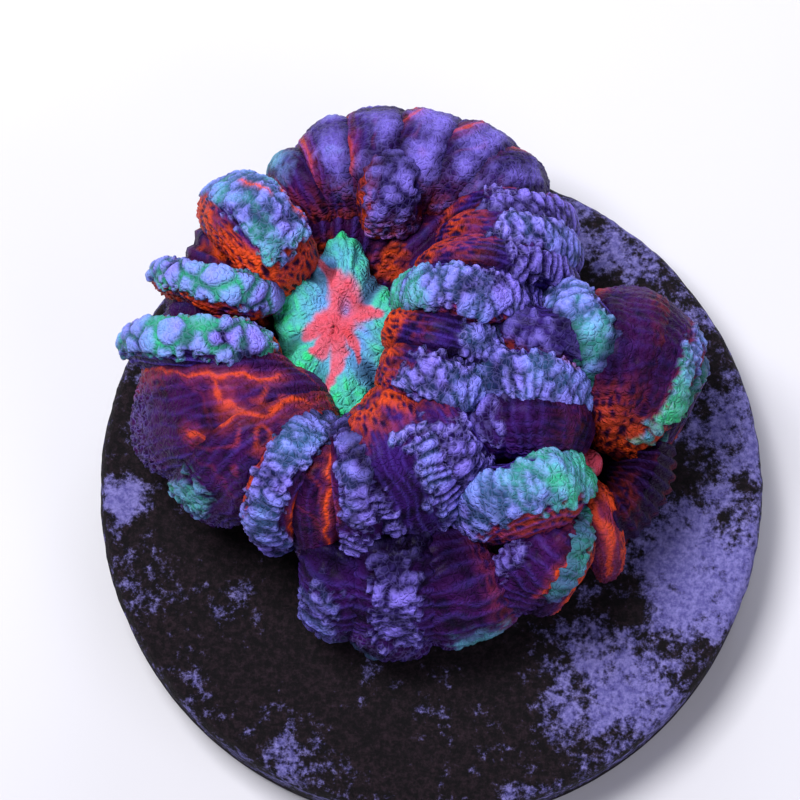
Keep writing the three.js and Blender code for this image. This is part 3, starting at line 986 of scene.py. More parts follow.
def main_lobes() -> list[Lobe]:
    """Lobes of the main polyp, anticlockwise from the north west.

    Returns:
        The lobes with their pigments.
    """
    fingers, smooth = Relief.FINGERS, Relief.SMOOTH
    return [
        Lobe("lobe_north_west", (-9.7, 13.9, 15.5), (-12.9, 16.5, 21.4), (-15.4, 20.0, 13.5), 3.5, 3.2,
             Dress(pads=(Pad(0.3, 1.0, -36, 60, cyan=(0.4, 0.25), green=(0.3, 0.2)),),
                   streaks=(Streak((0.3, -64), (0.85, -70), 0.16), Streak((0.5, -34), (0.62, -6), 0.1)),
                   orange_left=1.0, orange_mouth=0.9, beads=0.6)),
        Lobe("lobe_west_upper", (-12.0, 11.3, 16.5), (-16.2, 11.7, 21.6), (-20.3, 14.2, 13.8), 1.9, 2.6,
             BLISTERED_WEST),
        Lobe("lobe_west_lower", (-11.8, 7.9, 16.5), (-17.1, 7.7, 21.8), (-22.4, 9.0, 13.5), 2.2, 2.8, Dress(
            pads=(Pad(0.16, 1.0, 0, 50, Relief.BLISTERS, cyan=(0.2, 0.45), green=(0.45, 0.4)),),
            orange_mouth=1.0, orange_right=0.6, beads=0.6)),
        Lobe("lobe_south_west_broad", (-8.8, 5.1, 15.5), (-15.0, 3.6, 20.3), (-21.7, 3.0, 12.0), 3.7, 3.1,
             Dress(streaks=(Streak((0.3, -14), (0.56, -30), 0.3, 0.8),
                            Streak((0.4, 30), (0.52, -30), 0.24, 0.7),
                            Streak((0.34, 44), (0.6, 40), 0.2, 0.65),
                            Streak((0.56, -30), (0.78, -46), 0.2, 0.6)),
                   orange_right=0.25, veins=0.45, maroon=0.7, striation=0.6, beads=1.0), 0.35, 4.5),
        Lobe("lobe_south_west", (-8.0, 3.6, 16.0), (-13.1, 0.0, 20.4), (-16.8, -2.6, 11.5), 3.0, 2.8, Dress(
            pads=(Pad(0.7, 0.86, 0, 28, cyan=(0.7, 0.7), green=(0.6, 0.6), strength=0.55),),
            streaks=(Streak((0.16, -10), (0.5, -42), 0.3, 0.8), Streak((0.2, 20), (0.4, 50), 0.22, 0.7)),
            orange_mouth=0.4, veins=0.5, maroon=0.6, striation=0.7, beads=1.0), 0.25, 4.5),
        Lobe("lobe_south_left", (-7.4, 2.2, 17.6), (-11.0, -2.6, 21.8), (-11.4, -5.4, 12.0), 2.3, 2.7,
             Dress(pads=(Pad(0.02, 0.98, -6, 45, cyan=(0.4, 0.1)),),
                   streaks=(Streak((0.3, 62), (0.8, 66), 0.16),),
                   orange_right=0.8, maroon=0.8, beads=0.8)),
        Lobe("lobe_south_gap", (-6.8, 1.6, 17.0), (-8.0, -3.4, 20.6), (-8.2, -5.8, 11.5), 1.9, 2.5, Dress(
            streaks=(Streak((0.15, 10), (0.8, 18), 0.12),),
            orange_left=0.25, veins=0.25, maroon=0.8, beads=0.9), 0.0, 3.5),
        Lobe("lobe_south", (-6.0, 1.6, 18.0), (-5.3, -3.3, 21.8), (-5.2, -5.9, 12.5), 2.1, 2.6, Dress(
            pads=(Pad(0.12, 0.6, -4, 36, cyan=(0.2, 0.0), strength=0.85),
                  Pad(0.66, 0.93, -4, 38, fingers, green=(0.2, 0.0), strength=0.8)),
            streaks=(Streak((0.1, -58), (0.7, -62), 0.18),),
            maroon=0.5, beads=0.6), 0.0, 3.0),
        Lobe("lobe_south_right", (-4.3, 3.5, 18.0), (-2.2, -1.4, 22.8), (-0.3, -4.6, 13.5), 3.2, 3.0, Dress(
            pads=(Pad(0.38, 0.95, 34, 28, fingers, cyan=(0.4, 0.0)),
                  Pad(0.5, 0.9, -56, 18, fingers, strength=0.9)),
            orange_mouth=1.0, maroon=0.2, striation=0.4, beads=0.7), 0.15, 3.5),
        Lobe("lobe_south_east", (-1.6, 3.6, 18.0), (1.2, 0.3, 22.0), (2.7, -1.6, 14.5), 2.1, 2.6, Dress(
            pads=(Pad(0.42, 0.95, 0, 43),
                  Pad(0.05, 0.3, 30, 30, cyan=(0.6, 0.2), green=(0.9, 0.5), strength=0.8)),
            orange_mouth=0.9, beads=0.5), 0.0, 3.5),
        Lobe("lobe_east_lower", (-3.1, 6.2, 17.5), (0.1, 4.5, 22.6), (3.3, 4.3, 15.5), 2.5, 2.9, Dress(
            pads=(Pad(0.36, 1.0, -4, 46, cyan=(0.25, 0.0)),),
            orange_mouth=1.0, beads=0.4)),
        Lobe("lobe_east", (-3.1, 9.1, 17.5), (1.2, 7.7, 22.2), (4.9, 7.5, 15.5), 2.2, 2.8, Dress(
            pads=(Pad(0.5, 0.95, -8, 40, cyan=(0.1, 0.0)),),
            orange_mouth=1.0, orange_left=0.4, beads=0.5)),
        Lobe("lobe_east_upper", (-2.1, 11.8, 16.8), (2.7, 10.8, 23.0), (7.4, 10.7, 14.5), 2.4, 3.1, Dress(
            pads=(Pad(0.03, 1.0, 0, 49, cyan=(0.7, -0.4), green=(0.75, -0.7)),),
            orange_right=0.5, beads=0.6)),
        Lobe("lobe_north_east_lower", (-0.8, 14.4, 15.5), (4.8, 13.5, 22.0), (9.2, 13.2, 13.5), 1.8, 2.9,
             Dress(pads=(Pad(0.5, 1.0, 0, 40, fingers, strength=0.7),),
                   orange_mouth=0.8, orange_left=0.4, beads=0.4), 0.0, 3.0),
        Lobe("lobe_north_east", (0.6, 16.4, 15.0), (6.0, 15.8, 20.9), (10.1, 15.3, 12.5), 1.8, 2.8, Dress(
            pads=(Pad(0.4, 1.0, 0, 45, cyan=(0.4, 0.2)),),
            orange_mouth=0.8, orange_left=0.4, beads=0.4), 0.0, 3.0),
        Lobe("lobe_north_east_upper", (1.6, 18.1, 14.0), (6.2, 18.0, 19.6), (9.7, 17.9, 11.5), 1.9, 2.7,
             Dress(pads=(Pad(0.34, 1.0, 0, 45, strength=0.85),),
                   orange_mouth=0.7, orange_left=0.3), 0.0, 3.0),
        Lobe("lobe_north_outer_right", (1.2, 18.8, 12.5), (5.0, 20.9, 17.6), (7.9, 21.6, 10.5), 2.2, 2.7,
             PURPLE_BACK, 0.2, 3.2),
        Lobe("lobe_north_right", (-0.2, 19.0, 12.5), (2.4, 22.3, 18.0), (4.8, 24.3, 10.5), 2.4, 2.8,
             PURPLE_BACK, 0.2, 3.2),
        Lobe("lobe_north", (-2.0, 18.8, 12.5), (-0.8, 22.8, 18.2), (0.6, 25.8, 10.5), 2.6, 2.9,
             PURPLE_BACK, 0.2, 3.2),
        Lobe("lobe_north_left", (-4.2, 18.8, 12.5), (-4.1, 23.0, 18.2), (-3.9, 26.2, 10.5), 2.6, 2.9,
             PURPLE_BACK, 0.2, 3.2),
        Lobe("lobe_north_outer_left", (-6.2, 18.8, 12.0), (-7.3, 22.5, 17.4), (-8.0, 25.2, 10.5), 2.3, 2.7,
             PURPLE_BACK, 0.2, 3.2),
        Lobe("lobe_north_far_left", (-8.1, 18.6, 12.0), (-9.7, 21.0, 16.0), (-10.9, 22.6, 10.0), 1.9, 2.6,
             Dress(pads=(Pad(0.5, 1.0, 16, 44, smooth, cyan=(0.4, 0.9), green=(0.2, 0.9), strength=0.85),),
                   streaks=(Streak((0.1, -58), (0.8, -62), 0.2),),
                   orange_left=0.2, orange_mouth=0.5, maroon=0.5), 0.1, 3.5),
        Lobe("lobe_north_bulge", (-3.1, 17.9, 14.0), (-3.1, 19.5, 18.3), (-2.9, 21.8, 16.4), 2.1, 2.0,
             Dress(pads=(Pad(0.2, 0.92, -6, 54, strength=0.75),),
                   orange_mouth=1.0, orange_left=0.7), 0.0, 3.5),
    ]


def right_lobes() -> list[Lobe]:
    """Lobes of the right polyp and of the wall that it shares with the main one.

    Returns:
        The lobes with their pigments.
    """
    netted = Dress(
        orange_mouth=0.9, orange_left=0.35, orange_right=0.3, maroon=0.8, striation=0.6, folds=0.6
    )
    return [
        Lobe("lobe_right_crown", (12.6, 5.1, 15.5), (11.1, 8.6, 21.4), (9.2, 11.7, 16.0), 2.4, 2.7, Dress(
            pads=(Pad(0.0, 0.95, 0, 50, cyan=(0.9, 0.1), green=(1.1, -0.4)),), beads=0.5)),
        Lobe("lobe_right_back", (13.3, 2.6, 12.5), (13.9, 7.2, 20.4), (14.2, 12.6, 12.5), 2.9, 3.0,
             netted, 0.2, 4.0),
        Lobe("lobe_right_side", (14.2, 2.0, 12.0), (15.9, 6.2, 19.4), (17.4, 10.8, 12.0), 2.9, 2.9, Dress(
            pads=(Pad(0.33, 0.8, -56, 20, cyan=(0.9, 0.6), green=(0.9, -0.2), strength=0.9),
                  Pad(0.24, 0.31, -26, 9, cyan=(0.8, 0.8), green=(0.6, 0.6), strength=0.7)),
            orange_mouth=1.0, orange_left=0.3, orange_right=0.3,
            maroon=0.8, striation=0.6, folds=0.6), 0.2, 4.0),
        Lobe("lobe_right_tip", (14.8, 1.4, 11.5), (16.8, 4.5, 17.2), (18.5, 7.2, 11.5), 2.3, 2.6, Dress(
            pads=(Pad(0.34, 0.96, 6, 50, cyan=(0.9, 0.4), green=(0.75, 0.1), strength=0.9),),
            orange_mouth=0.9, orange_left=0.6, maroon=0.7), 0.0, 3.5),
        Lobe("lobe_saddle", (11.3, 7.2, 17.0), (8.1, 7.9, 21.2), (5.6, 8.7, 16.0), 2.0, 2.6, Dress(
            pads=(Pad(0.25, 0.8, 0, 38, strength=0.48),),
            orange_left=0.5, striation=0.6, beads=0.4), 0.0, 3.6),
        Lobe("lobe_dividing_upper", (10.6, 3.8, 17.5), (6.8, 4.8, 22.2), (3.4, 5.1, 15.5), 2.4, 2.7, Dress(
            pads=(Pad(0.03, 0.97, 8, 56, cyan=(0.6, 0.0), green=(0.2, -0.6)),),
            streaks=(Streak((0.04, -60), (0.3, -70), 0.25),), beads=0.5)),
        Lobe("lobe_dividing_middle", (10.6, 1.4, 17.0), (6.5, 1.6, 21.0), (3.3, 1.8, 15.5), 2.1, 2.7, Dress(
            pads=(Pad(0.56, 0.97, 4, 44, strength=0.7),),
            orange_mouth=0.15, maroon=0.4, folds=0.5, mouth_shade=0.45, beads=0.4), 0.0, 5.2),
        Lobe("lobe_dividing_lower", (9.9, -1.9, 16.5), (6.6, -3.5, 21.4), (3.0, -4.2, 14.5), 2.6, 2.9,
             Dress(pads=(Pad(0.02, 0.97, 0, 49, cyan=(0.9, 0.0), green=(0.95, -0.5)),),
                   orange_left=0.4, beads=0.7), 0.0, 4.8),
        Lobe("lobe_right_foot", (10.2, -4.0, 14.5), (7.4, -7.6, 18.0), (5.4, -9.2, 11.2), 2.4, 2.6, Dress(
            pads=(Pad(0.45, 0.95, -32, 20, strength=0.6),),
            streaks=(Streak((0.1, 30), (0.6, 48), 0.16),),
            orange_mouth=0.4, veins=0.4, maroon=0.6, striation=0.2, folds=1.0, beads=0.6), 0.0, 3.5),
        Lobe("lobe_right_foot_edge", (10.7, -3.9, 13.6), (9.4, -7.5, 17.0), (8.3, -9.8, 10.8), 1.9, 2.5,
             Dress(pads=(Pad(0.14, 0.66, 12, 24, cyan=(0.8, 0.6), green=(0.9, 0.2)),),
                   orange_left=1.0, orange_mouth=0.9, orange_right=0.6, maroon=0.8), 0.0, 3.0),
        Lobe("lobe_right_low", (11.3, -1.8, 13.0), (12.3, -4.8, 16.0), (12.9, -7.5, 9.5), 2.0, 2.3, Dress(
            streaks=(Streak((0.16, 10), (0.8, -6), 0.7, 0.7),),
            orange_mouth=1.0, orange_left=0.8, orange_right=0.8, maroon=0.8)),
    ]


def front_lobes() -> list[Lobe]:
    """Lobes of the small polyp in front of the main one.

    Returns:
        The lobes with their pigments.
    """
    smooth = Relief.SMOOTH
    return [
        Lobe("lobe_front_left", (-6.2, -6.0, 14.0), (-7.0, -8.6, 16.0), (-7.6, -10.5, 10.0), 2.3, 2.4,
             Dress(pads=(Pad(0.45, 0.88, -14, 36, cyan=(0.2, 0.0), strength=0.8),
                         Pad(0.84, 1.0, 30, 34, smooth, (0.5, 0.5), (0.9, 0.9), 0.4)),
                   maroon=0.4, folds=1.0, mouth_shade=0.9, beads=0.6), 0.1, 5.5),
        Lobe("lobe_front_middle", (-2.4, -5.6, 15.0), (-2.6, -9.0, 17.2), (-2.7, -11.6, 10.5), 3.1, 2.8,
             Dress(pads=(Pad(0.3, 0.82, -2, 31, strength=0.9),
                         Pad(0.86, 1.0, -34, 30, smooth, (0.5, 0.5), (0.9, 0.9), 0.4)),
                   maroon=0.4, folds=1.0, mouth_shade=0.9, beads=0.6), 0.15, 5.5),
        Lobe("lobe_front_right", (1.0, -5.6, 14.5), (2.0, -9.0, 16.6), (2.8, -11.4, 10.0), 2.8, 2.6,
             Dress(pads=(Pad(0.7, 1.0, 8, 44, smooth, (0.6, 0.8), (0.7, 0.6), 0.55),),
                   orange_left=0.15, maroon=0.6, folds=1.0, mouth_shade=0.7, beads=0.7), 0.15, 5.5),
        Lobe("lobe_front_hem", (-6.1, -10.2, 10.5), (-4.3, -11.4, 11.6), (-1.6, -12.1, 10.0), 1.6, 1.7,
             Dress(pads=(Pad(0.1, 0.95, 0, 60, smooth, (0.5, 0.5), (0.9, 0.9), 0.4),), maroon=0.4),
             0.0, 3.5),
    ]


@dataclass
class Flesh:
    """The flesh under a polyp's lobes: a low ring round the mouth that narrows to its foot.

    reach is the half sizes of its oval, floor and crest are heights, crest_slope lowers the
    crest towards the back, and foot is the share of the oval that stands on the disc. net is
    the strength of the orange net and shade that of the painted shade between the lobes.
    """

    name: str
    middle: tuple[float, float]
    reach: tuple[float, float]
    floor: float
    crest: float
    crest_slope: float
    foot: float = 0.82
    net: float = 0.7
    shade: float = 0.45
    seed: int = 5

    ROWS = 90
    COLUMNS = 180
    # Levels along the section: 0 on the floor of the pit, 1 on the crest and -1 on the disc
    LEVELS = (0.0, 0.02, 0.25, 0.85, 1.0, 0.72, 0.35, -0.35, -0.9, -1.0, -1.0)
    FOLDS = 46
    FOLD_RISE, LUMP_RISE = 0.22, 0.3
    SWAY_SIZE, LUMP_SIZE, NET_SIZE = 4.0, 2.0, 0.7

    def build(self) -> bpy.types.Object:
        """Turn the section round an oval and add radial folds.

        The radius is the oval's times the section's share. Its height runs from the pit's
        floor over a crest and down to the disc.

        Returns:
            The flesh's object.
        """
        turn = np.linspace(0, 2 * np.pi, self.COLUMNS, endpoint=False)
        foot = self.foot
        shares = (0.0, 0.18, 0.36, 0.55, 0.72, 0.86, 0.9, foot * 0.92, foot, foot * 0.98, 0.0)
        place, rows = np.linspace(0, 1, len(shares)), np.linspace(1, 0, self.ROWS)
        share, level = np.interp(rows, place, shares), np.interp(rows, place, self.LEVELS)
        share, turn_grid = np.meshgrid(share, turn, indexing="ij")
        level = np.broadcast_to(level[:, None], share.shape)
        direction = np.stack([np.cos(turn_grid), np.sin(turn_grid)], axis=-1)
        radius = 1.0 / np.hypot(direction[..., 0] / self.reach[0], direction[..., 1] / self.reach[1])
        flat = np.array(self.middle) + direction * (radius * share)[..., None]
        crest = self.crest - self.crest_slope * np.clip(direction[..., 1], 0, 1)
        above = self.floor + np.maximum(level, 0) * (crest - self.floor)
        height = above + np.minimum(level, 0) * (self.floor - DISC_TOP)
        plain = np.concatenate([flat, height[..., None]], axis=-1)
        noise = Noise(self.seed)
        wobble = noise.fractal(plain, self.LUMP_SIZE, 3)
        folds = np.sin(self.FOLDS * turn_grid + 3 * noise.smooth(plain, self.SWAY_SIZE))
        skirt = smooth_step(-0.96, -0.8, level)
        rise = self.FOLD_RISE * folds * smooth_step(0.1, 0.5, share) + self.LUMP_RISE * wobble
        points = plain + grid_normals(plain) * (rise * skirt)[..., None]
        gap, _ = noise.cells(plain, self.NET_SIZE)
        pit = smooth_step(0.0, 0.5, wobble) * skirt * self.net
        masks = {"pit": pit, "orange": pit * smooth_step(0.3, 0.05, gap), "maroon": 0.8}
        # Painted shade over all the flesh under the lobes
        masks["groove_shade"] = self.shade
        masks["lines"] = smooth_step(0.4, 1.0, folds) * 0.3
        return wrapped_mesh(self.name, points, tissue_masks(share.shape, masks))


def ball_grid(rows: int, columns: int) -> tuple[Array, Array, Array]:
    """Unit ball, as the sines and cosines of a polar angle and a turn, from the bottom to the top.

    Args:
        rows: How many polar angles, with both poles.
        columns: How many turns.

    Returns:
        The polar angles, the turns and the places.
    """
    turn = np.linspace(0, 2 * np.pi, columns, endpoint=False)
    polar, turn = np.meshgrid(np.linspace(np.pi, 0, rows), turn, indexing="ij")
    out = np.sin(polar)
    return polar, turn, np.stack([out * np.cos(turn), out * np.sin(turn), np.cos(polar)], axis=-1)


@dataclass(frozen=True)
class Arm:
    """One arm of the star round the mouth: its direction, length and half width.

    The direction is in degrees anticlockwise from the right. Length and width are shares of
    the oral disc's radius.
    """

    direction: float
    length: float
    width: float


@dataclass
class OralDisc:
    """The ruffled tissue round the main mouth, with its pink star and the mouth in its middle.

    middle, reach, bottom and top are millimetres. ruffle and frill are shares of the radius by
    which the petals and the fine frills swell it, and their rises are millimetres. petal_turn
    is in degrees. mouth_place, mouth_size and core are shares of the disc's half sizes.
    """

    middle: tuple[float, float] = (-7.2, 9.4)
    reach: tuple[float, float] = (4.7, 7.0)
    bottom: float = 11.0
    top: float = 15.8
    petals: int = 5
    petal_turn: float = 75.0
    frills: int = 27
    ruffle: float = 0.11
    frill: float = 0.02
    ruffle_rise: float = 0.9
    frill_rise: float = 0.14
    mouth_place: tuple[float, float] = (0.2, 0.24)
    mouth_size: float = 0.1
    mouth_depth: float = 0.8
    core: float = 0.24
    seed: int = 77
    arms: tuple[Arm, ...] = (
        Arm(123, 0.80, 0.20),
        Arm(-6, 0.52, 0.22),
        Arm(-74, 0.62, 0.18),
        Arm(-109, 0.92, 0.24),
        Arm(-133, 0.66, 0.30),
        Arm(-156, 0.72, 0.32),
    )

    ROWS = 150
    COLUMNS = 270
    WOBBLE_SIZE, BEAD_SIZE = 1.9, 1.1
    WOBBLE_RISE, BEAD_RISE, LINE_RISE = 0.3, 0.06, 0.02

    def star(self, east: Array, north: Array, wobble: Array) -> Array:
        """The pink star: how near a place is to the core, or to the line of an arm that tapers.

        Args:
            east: Places as a share of the disc's half width.
            north: Places as a share of its half length.
            wobble: Noise that frays the arms' edges.

        Returns:
            1 in the star and 0 outside.
        """
        star = smooth_step(self.core, self.core * 0.6, np.hypot(east, north) + 0.2 * wobble)
        for arm in self.arms:
            turned = math.radians(arm.direction)
            along = east * math.cos(turned) + north * math.sin(turned)
            off = np.abs(north * math.cos(turned) - east * math.sin(turned) + 0.16 * wobble)
            past = np.maximum(along - arm.length, 0) + np.maximum(-along, 0)
            width = arm.width * (1.0 - 0.72 * np.clip(along / arm.length, 0, 1))
            star = np.maximum(star, smooth_step(1.2, 0.4, np.hypot(off, past) / width))
        return star

    def build(self) -> bpy.types.Object:
        """A flattened ball whose radius swells once for each petal, with ruffles towards its rim.

        Returns:
            The oral disc's object.
        """
        polar, turn, ball = ball_grid(self.ROWS, self.COLUMNS)
        out, up = np.sin(polar), np.cos(polar)
        noise = Noise(self.seed)
        drift = noise.smooth(ball * 5.0, 1.8)
        petal = np.cos(self.petals * (turn - math.radians(self.petal_turn)) + 1.5 * drift)
        frill = np.cos(self.frills * turn + 5 * drift)
        swell = 1.0 + self.ruffle * out * petal + self.frill * out**3 * frill
        top_side = smooth_step(-0.1, 0.25, up)
        east, north = ball[..., 0] - self.mouth_place[0], ball[..., 1] - self.mouth_place[1]
        mouth = np.exp(-((np.hypot(east, north) / self.mouth_size) ** 2)) * top_side
        ruffles = self.ruffle_rise * np.sqrt(0.55 + 0.45 * petal) * smooth_step(0.25, 0.8, out)
        ruffles = ruffles + self.frill_rise * frill * out**3 - self.mouth_depth * mouth
        half_height, centre = (self.top - self.bottom) / 2, (self.top + self.bottom) / 2
        x = self.middle[0] + self.reach[0] * ball[..., 0] * swell
        y = self.middle[1] + self.reach[1] * ball[..., 1] * swell
        height = centre + half_height * up * swell + top_side * ruffles
        points = np.stack([x, y, height], axis=-1)
        wobble = noise.fractal(points, self.WOBBLE_SIZE, 4)
        gap, _ = noise.cells(points + 0.4 * wobble[..., None], self.BEAD_SIZE)
        bead = np.sqrt(smooth_step(0.0, 0.5, gap))
        rough = self.WOBBLE_RISE * wobble + self.BEAD_RISE * bead
        rough = rough + self.LINE_RISE * np.cos(3 * self.frills * turn + 14 * drift)
        points = points + np.array([0, 0, 1.0]) * (rough * top_side)[..., None]

        star = self.star(east, north, wobble) * top_side
        rim = smooth_step(0.35, 0.9, out + 0.16 * wobble + 0.08 * frill) * smooth_step(-0.9, -0.2, petal)
        south_west = np.clip(-0.6 * ball[..., 0] - 0.5 * ball[..., 1], -0.2, 0.4)
        leaf = np.clip(0.3 + 0.7 * rim + 0.5 * wobble + south_west, 0, 1)
        # Painted shade in the clefts between the petals
        cleft_shade = smooth_step(-0.4, -0.95, petal) * smooth_step(0.3, 0.7, out)
        masks = {
            "pad": 1.0,
            # Partly painted highlight: the band pigment lighter on the raised beads
            "dome": 0.35 + 0.6 * bead,
            "cyan": np.clip(0.6 - 0.5 * wobble, 0, 0.75),
            "green": leaf * (1 - star) * top_side * (0.55 + 0.45 * bead),
            "orange": 0.6 * star * (1 - mouth),
            "pink": star * (1 - 0.5 * mouth) * (0.52 + 0.3 * bead + 0.3 * wobble),
            # Painted shade on the underside and in the clefts
            "groove_shade": (1 - top_side) * 0.9 + 0.7 * cleft_shade,
        }
        return wrapped_mesh("oral_disc", points, tissue_masks(out.shape, masks))


@dataclass
class MouthBead:
    """The small pink bead at the right polyp's second mouth."""

    centre: Point = (11.4, -0.1, 13.2)
    radius: float = 1.1
    seed: int = 31

    ROWS = 40
    COLUMNS = 60

    def build(self) -> bpy.types.Object:
        """A ball with a few low lumps, green on one side.

        Returns:
            The bead's object.
        """
        polar, _, ball = ball_grid(self.ROWS, self.COLUMNS)
        wobble = Noise(self.seed).fractal(ball * 2.0, 1.2, 2)
        points = np.array(self.centre) + ball * (self.radius * (1.0 + 0.1 * wobble))[..., None]
        green = smooth_step(0.0, 0.5, wobble - 0.4 * ball[..., 0])
        masks = {"pad": 1.0, "dome": 1.0, "green": green, "orange": 0.4, "pink": 0.9 - green}
        return wrapped_mesh("mouth_bead", points, tissue_masks(polar.shape, masks))


@dataclass(frozen=True)
class CrustPatch:
    """A patch of coralline crust on the disc: its middle, reach and density."""

    x: float
    y: float
    reach: float
    density: float


@dataclass
class CrustedDisc:
    """The ceramic disc: a turned blank under a lumpy skin of turf and crust."""

    radius: float = DISC_RADIUS
    top: float = DISC_TOP
    chamfer: float = 0.7
    seed: int = 11
    bare_density: float = 0.3
    patches: tuple[CrustPatch, ...] = (
        CrustPatch(20.0, -6.0, 8.5, 0.84),
        CrustPatch(13.0, -15.0, 6.5, 0.8),
        CrustPatch(22.0, 3.5, 5.5, 0.7),
        CrustPatch(14.0, 18.0, 5.0, 0.56),
        CrustPatch(18.5, 13.0, 4.0, 0.52),
        CrustPatch(-22.8, -1.2, 2.2, 0.85),
        CrustPatch(-17.5, -15.0, 2.8, 0.58),
        CrustPatch(-9.0, -21.0, 3.6, 0.5),
        CrustPatch(3.0, -19.5, 3.5, 0.46),
        CrustPatch(-21.0, -8.0, 2.4, 0.46),
    )

    COLUMNS = 420
    ROUGH_SIZE, BROAD_SIZE = 1.1, 3.6
    # Density of the crust: more at the rim, on the side, and how ragged on the top and on the side
    RIM_DENSITY, SIDE_DENSITY = 0.14, 0.55
    TOP_RAGGED, SIDE_RAGGED = 0.34, 0.2
    # Rows on the underside, the lower chamfer, the side, the upper chamfer and the top
    ROWS = (8, 4, 22, 4, 88)
    TURF_RISE, CRUST_RISE = 0.16, 0.12
    SIDE_RISE, SIDE_SINK = 0.12, 0.14

    def build(self) -> bpy.types.Object:
        """Turn the disc's outline about its axis and raise the turf and the crust.

        A patch's density falls with the square of the distance from its middle.

        Returns:
            The disc's object.
        """
        edge = self.radius - self.chamfer
        outline = np.array([
            [0.0, 0.0], [edge, 0.0], [self.radius, self.chamfer],
            [self.radius, self.top - self.chamfer], [edge, self.top], [0.0, self.top],
        ])
        profile = np.concatenate([
            np.linspace(outline[i], outline[i + 1], rows, endpoint=False) for i, rows in enumerate(self.ROWS)
        ] + [outline[-1:]])
        turn = np.linspace(0, 2 * np.pi, self.COLUMNS, endpoint=False)
        radius = np.broadcast_to(profile[:, :1], (len(profile), self.COLUMNS))
        height = np.broadcast_to(profile[:, 1:], radius.shape)
        plain = np.stack([radius * np.cos(turn), radius * np.sin(turn), height], axis=-1)
        noise = Noise(self.seed)
        rough = noise.fractal(plain, self.ROUGH_SIZE, 4)
        broad = noise.fractal(plain, self.BROAD_SIZE, 3)
        density = np.full(radius.shape, self.bare_density)
        for patch in self.patches:
            near = np.hypot(plain[..., 0] - patch.x, plain[..., 1] - patch.y) / patch.reach
            density = np.maximum(density, patch.density - (patch.density - self.bare_density) * near**2)
        density = density + self.RIM_DENSITY * smooth_step(0.72, 1.0, radius / self.radius)
        on_top = smooth_step(self.top - 0.9, self.top - 0.1, height)
        on_side = smooth_step(0.5, 1.2, height) * (1 - on_top)
        crust = on_top * (density + self.TOP_RAGGED * broad)
        crust = crust + on_side * (self.SIDE_DENSITY + self.SIDE_RAGGED * broad)
        rise = (self.TURF_RISE * (1 + rough) + self.CRUST_RISE * np.clip(crust, 0, 1)) * on_top
        rise += (self.SIDE_RISE * rough - self.SIDE_SINK) * on_side
        points = plain + grid_normals(plain) * rise[..., None]
        reach = np.hypot(points[..., 0], points[..., 1])
        points[..., :2] *= np.minimum(1.0, self.radius / np.maximum(reach, 1e-9))[..., None]
        masks = {"crust": crust, "clay": smooth_step(1.0, 0.3, height)}
        return wrapped_mesh("crusted_disc", points, masks)


@dataclass
class Colony:
    """The whole coral: its lobes, the flesh under them and the tissue of its mouths."""

    tissue: bpy.types.Material
    first_seed: int = 100

    def dress(self, piece: bpy.types.Object) -> None:
        """Give a piece its material and tie it to the frame.

        Args:
            piece: A new object.
        """
        piece.data.materials.append(self.tissue)
        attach(piece, "root")
        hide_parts("coral_colony")
        log.info("%s: %d faces", piece.name, len(piece.data.polygons))

    def build(self) -> None:
        """Build and dress every piece of the colony."""
        lobes = main_lobes() + right_lobes() + front_lobes()
        for number, lobe in enumerate(lobes):
            others = [other for other in lobes if other is not lobe]
            self.dress(lobe.build(others, self.first_seed + number))
        self.dress(OralDisc().build())
        self.dress(MouthBead().build())
        main = Flesh("flesh_main", (-7.2, 9.4), (14.0, 15.0), 12.0, 18.6, 4.2, net=1.0, shade=0.3)
        right = Flesh("flesh_right", (11.0, 1.4), (7.6, 9.0), 9.5, 15.4, 1.0, net=0.4, shade=0.75, seed=6)
        front = Flesh("flesh_front", (-2.0, -8.6), (6.4, 4.6), 12.0, 13.0, 0.0, seed=7)
        for flesh in (main, right, front):
            self.dress(flesh.build())


@dataclass(frozen=True)
class Lamp:
    """A square soft light: its place and the side of its square in millimetres, power and tint."""

    name: str
    place: Point
    side: float
    watts: float
    tint: str


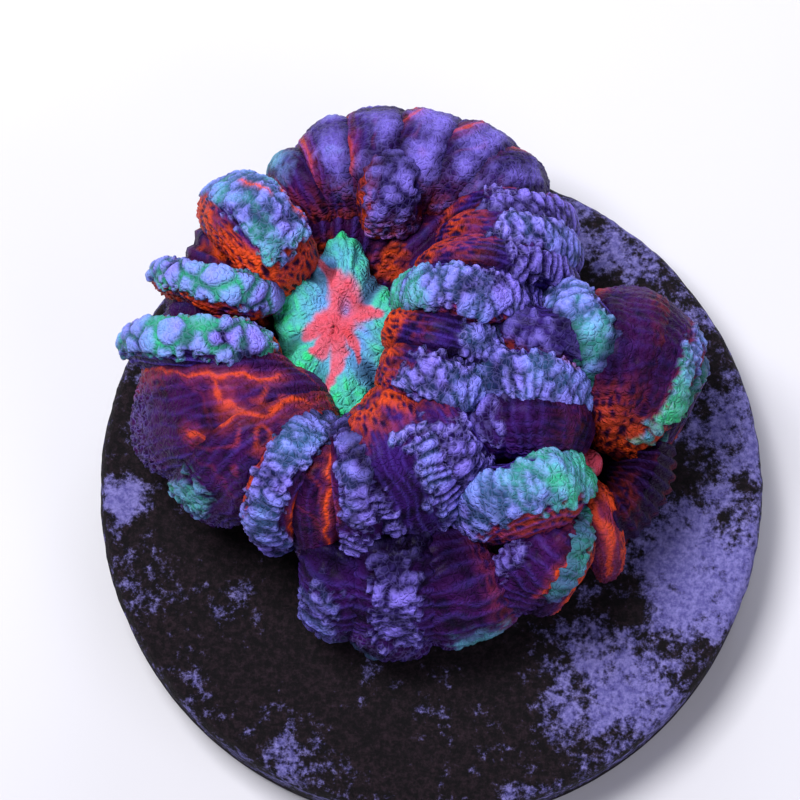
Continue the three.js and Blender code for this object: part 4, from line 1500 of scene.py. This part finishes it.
@dataclass
class Studio:
    """Camera, soft lights and a plain pale floor. Places and sizes are in millimetres."""

    target: Point = (-2.34, 6.36, 6.0)
    camera: Point = (-2.34, -52.13, 259.34)
    lens: float = 154.9
    sensor: float = 36.0
    floor_half: float = 4000.0
    sky: str = "#dcdce6"
    sky_strength: float = 0.24
    near_clip: float = 10.0
    lamps: tuple[Lamp, ...] = (
        Lamp("key", (-90, 60, 260), 110, 0.9, "#ffffff"),
        Lamp("fill", (200, -160, 160), 200, 0.32, "#f4f2ff"),
        Lamp("rim", (40, 230, 90), 120, 0.25, "#f2f6ff"),
    )

    def aim(self, data: bpy.types.Light | bpy.types.Camera, place: Point) -> bpy.types.Object:
        """Put a light or a camera at a place and turn it to the coral.

        Args:
            data: The light or the camera, whose name the object takes.
            place: Its place in millimetres.

        Returns:
            The new object.
        """
        made = place_object(data.name, data)
        made.location = Vector(place) * MM
        made.rotation_euler = (Vector(self.target) - Vector(place)).to_track_quat("-Z", "Y").to_euler()
        return made

    def build(self) -> None:
        """Set up the floor, the lights, the surroundings and the camera."""
        side = self.floor_half * MM
        mesh = bpy.data.meshes.new("floor")
        corners = [(-side, -side, 0), (side, -side, 0), (side, side, 0), (-side, side, 0)]
        mesh.from_pydata(corners, [], [(0, 1, 2, 3)])
        mesh.materials.append(PaleBoard().build())
        place_object("floor", mesh)

        for lamp in self.lamps:
            light = bpy.data.lights.new(lamp.name, "AREA")
            light.size, light.energy, light.color = lamp.side * MM, lamp.watts, linear(lamp.tint)[:3]
            self.aim(light, lamp.place)

        world = bpy.data.worlds.new("studio")
        world.use_nodes = True
        background = world.node_tree.nodes["Background"]
        background.inputs["Color"].default_value = linear(self.sky)
        background.inputs["Strength"].default_value = self.sky_strength
        bpy.context.scene.world = world
        bpy.context.scene.view_settings.view_transform = "Standard"

        data = bpy.data.cameras.new("camera")
        data.lens = self.lens
        data.sensor_width = self.sensor
        data.clip_start = self.near_clip * MM
        bpy.context.scene.camera = self.aim(data, self.camera)


def main() -> None:
    """Build the coral, the disc and the studio, in that order."""
    logging.basicConfig(level=logging.INFO, format="%(name)s %(message)s")
    Colony(WetCoralTissue().build()).build()
    disc = CrustedDisc().build()
    disc.data.materials.append(CrustedCeramic().build())
    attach(disc, "root")
    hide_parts("ceramic_disc")
    log.info("%s: %d faces", disc.name, len(disc.data.polygons))
    Studio().build()


if __name__ == "__main__":
    main()
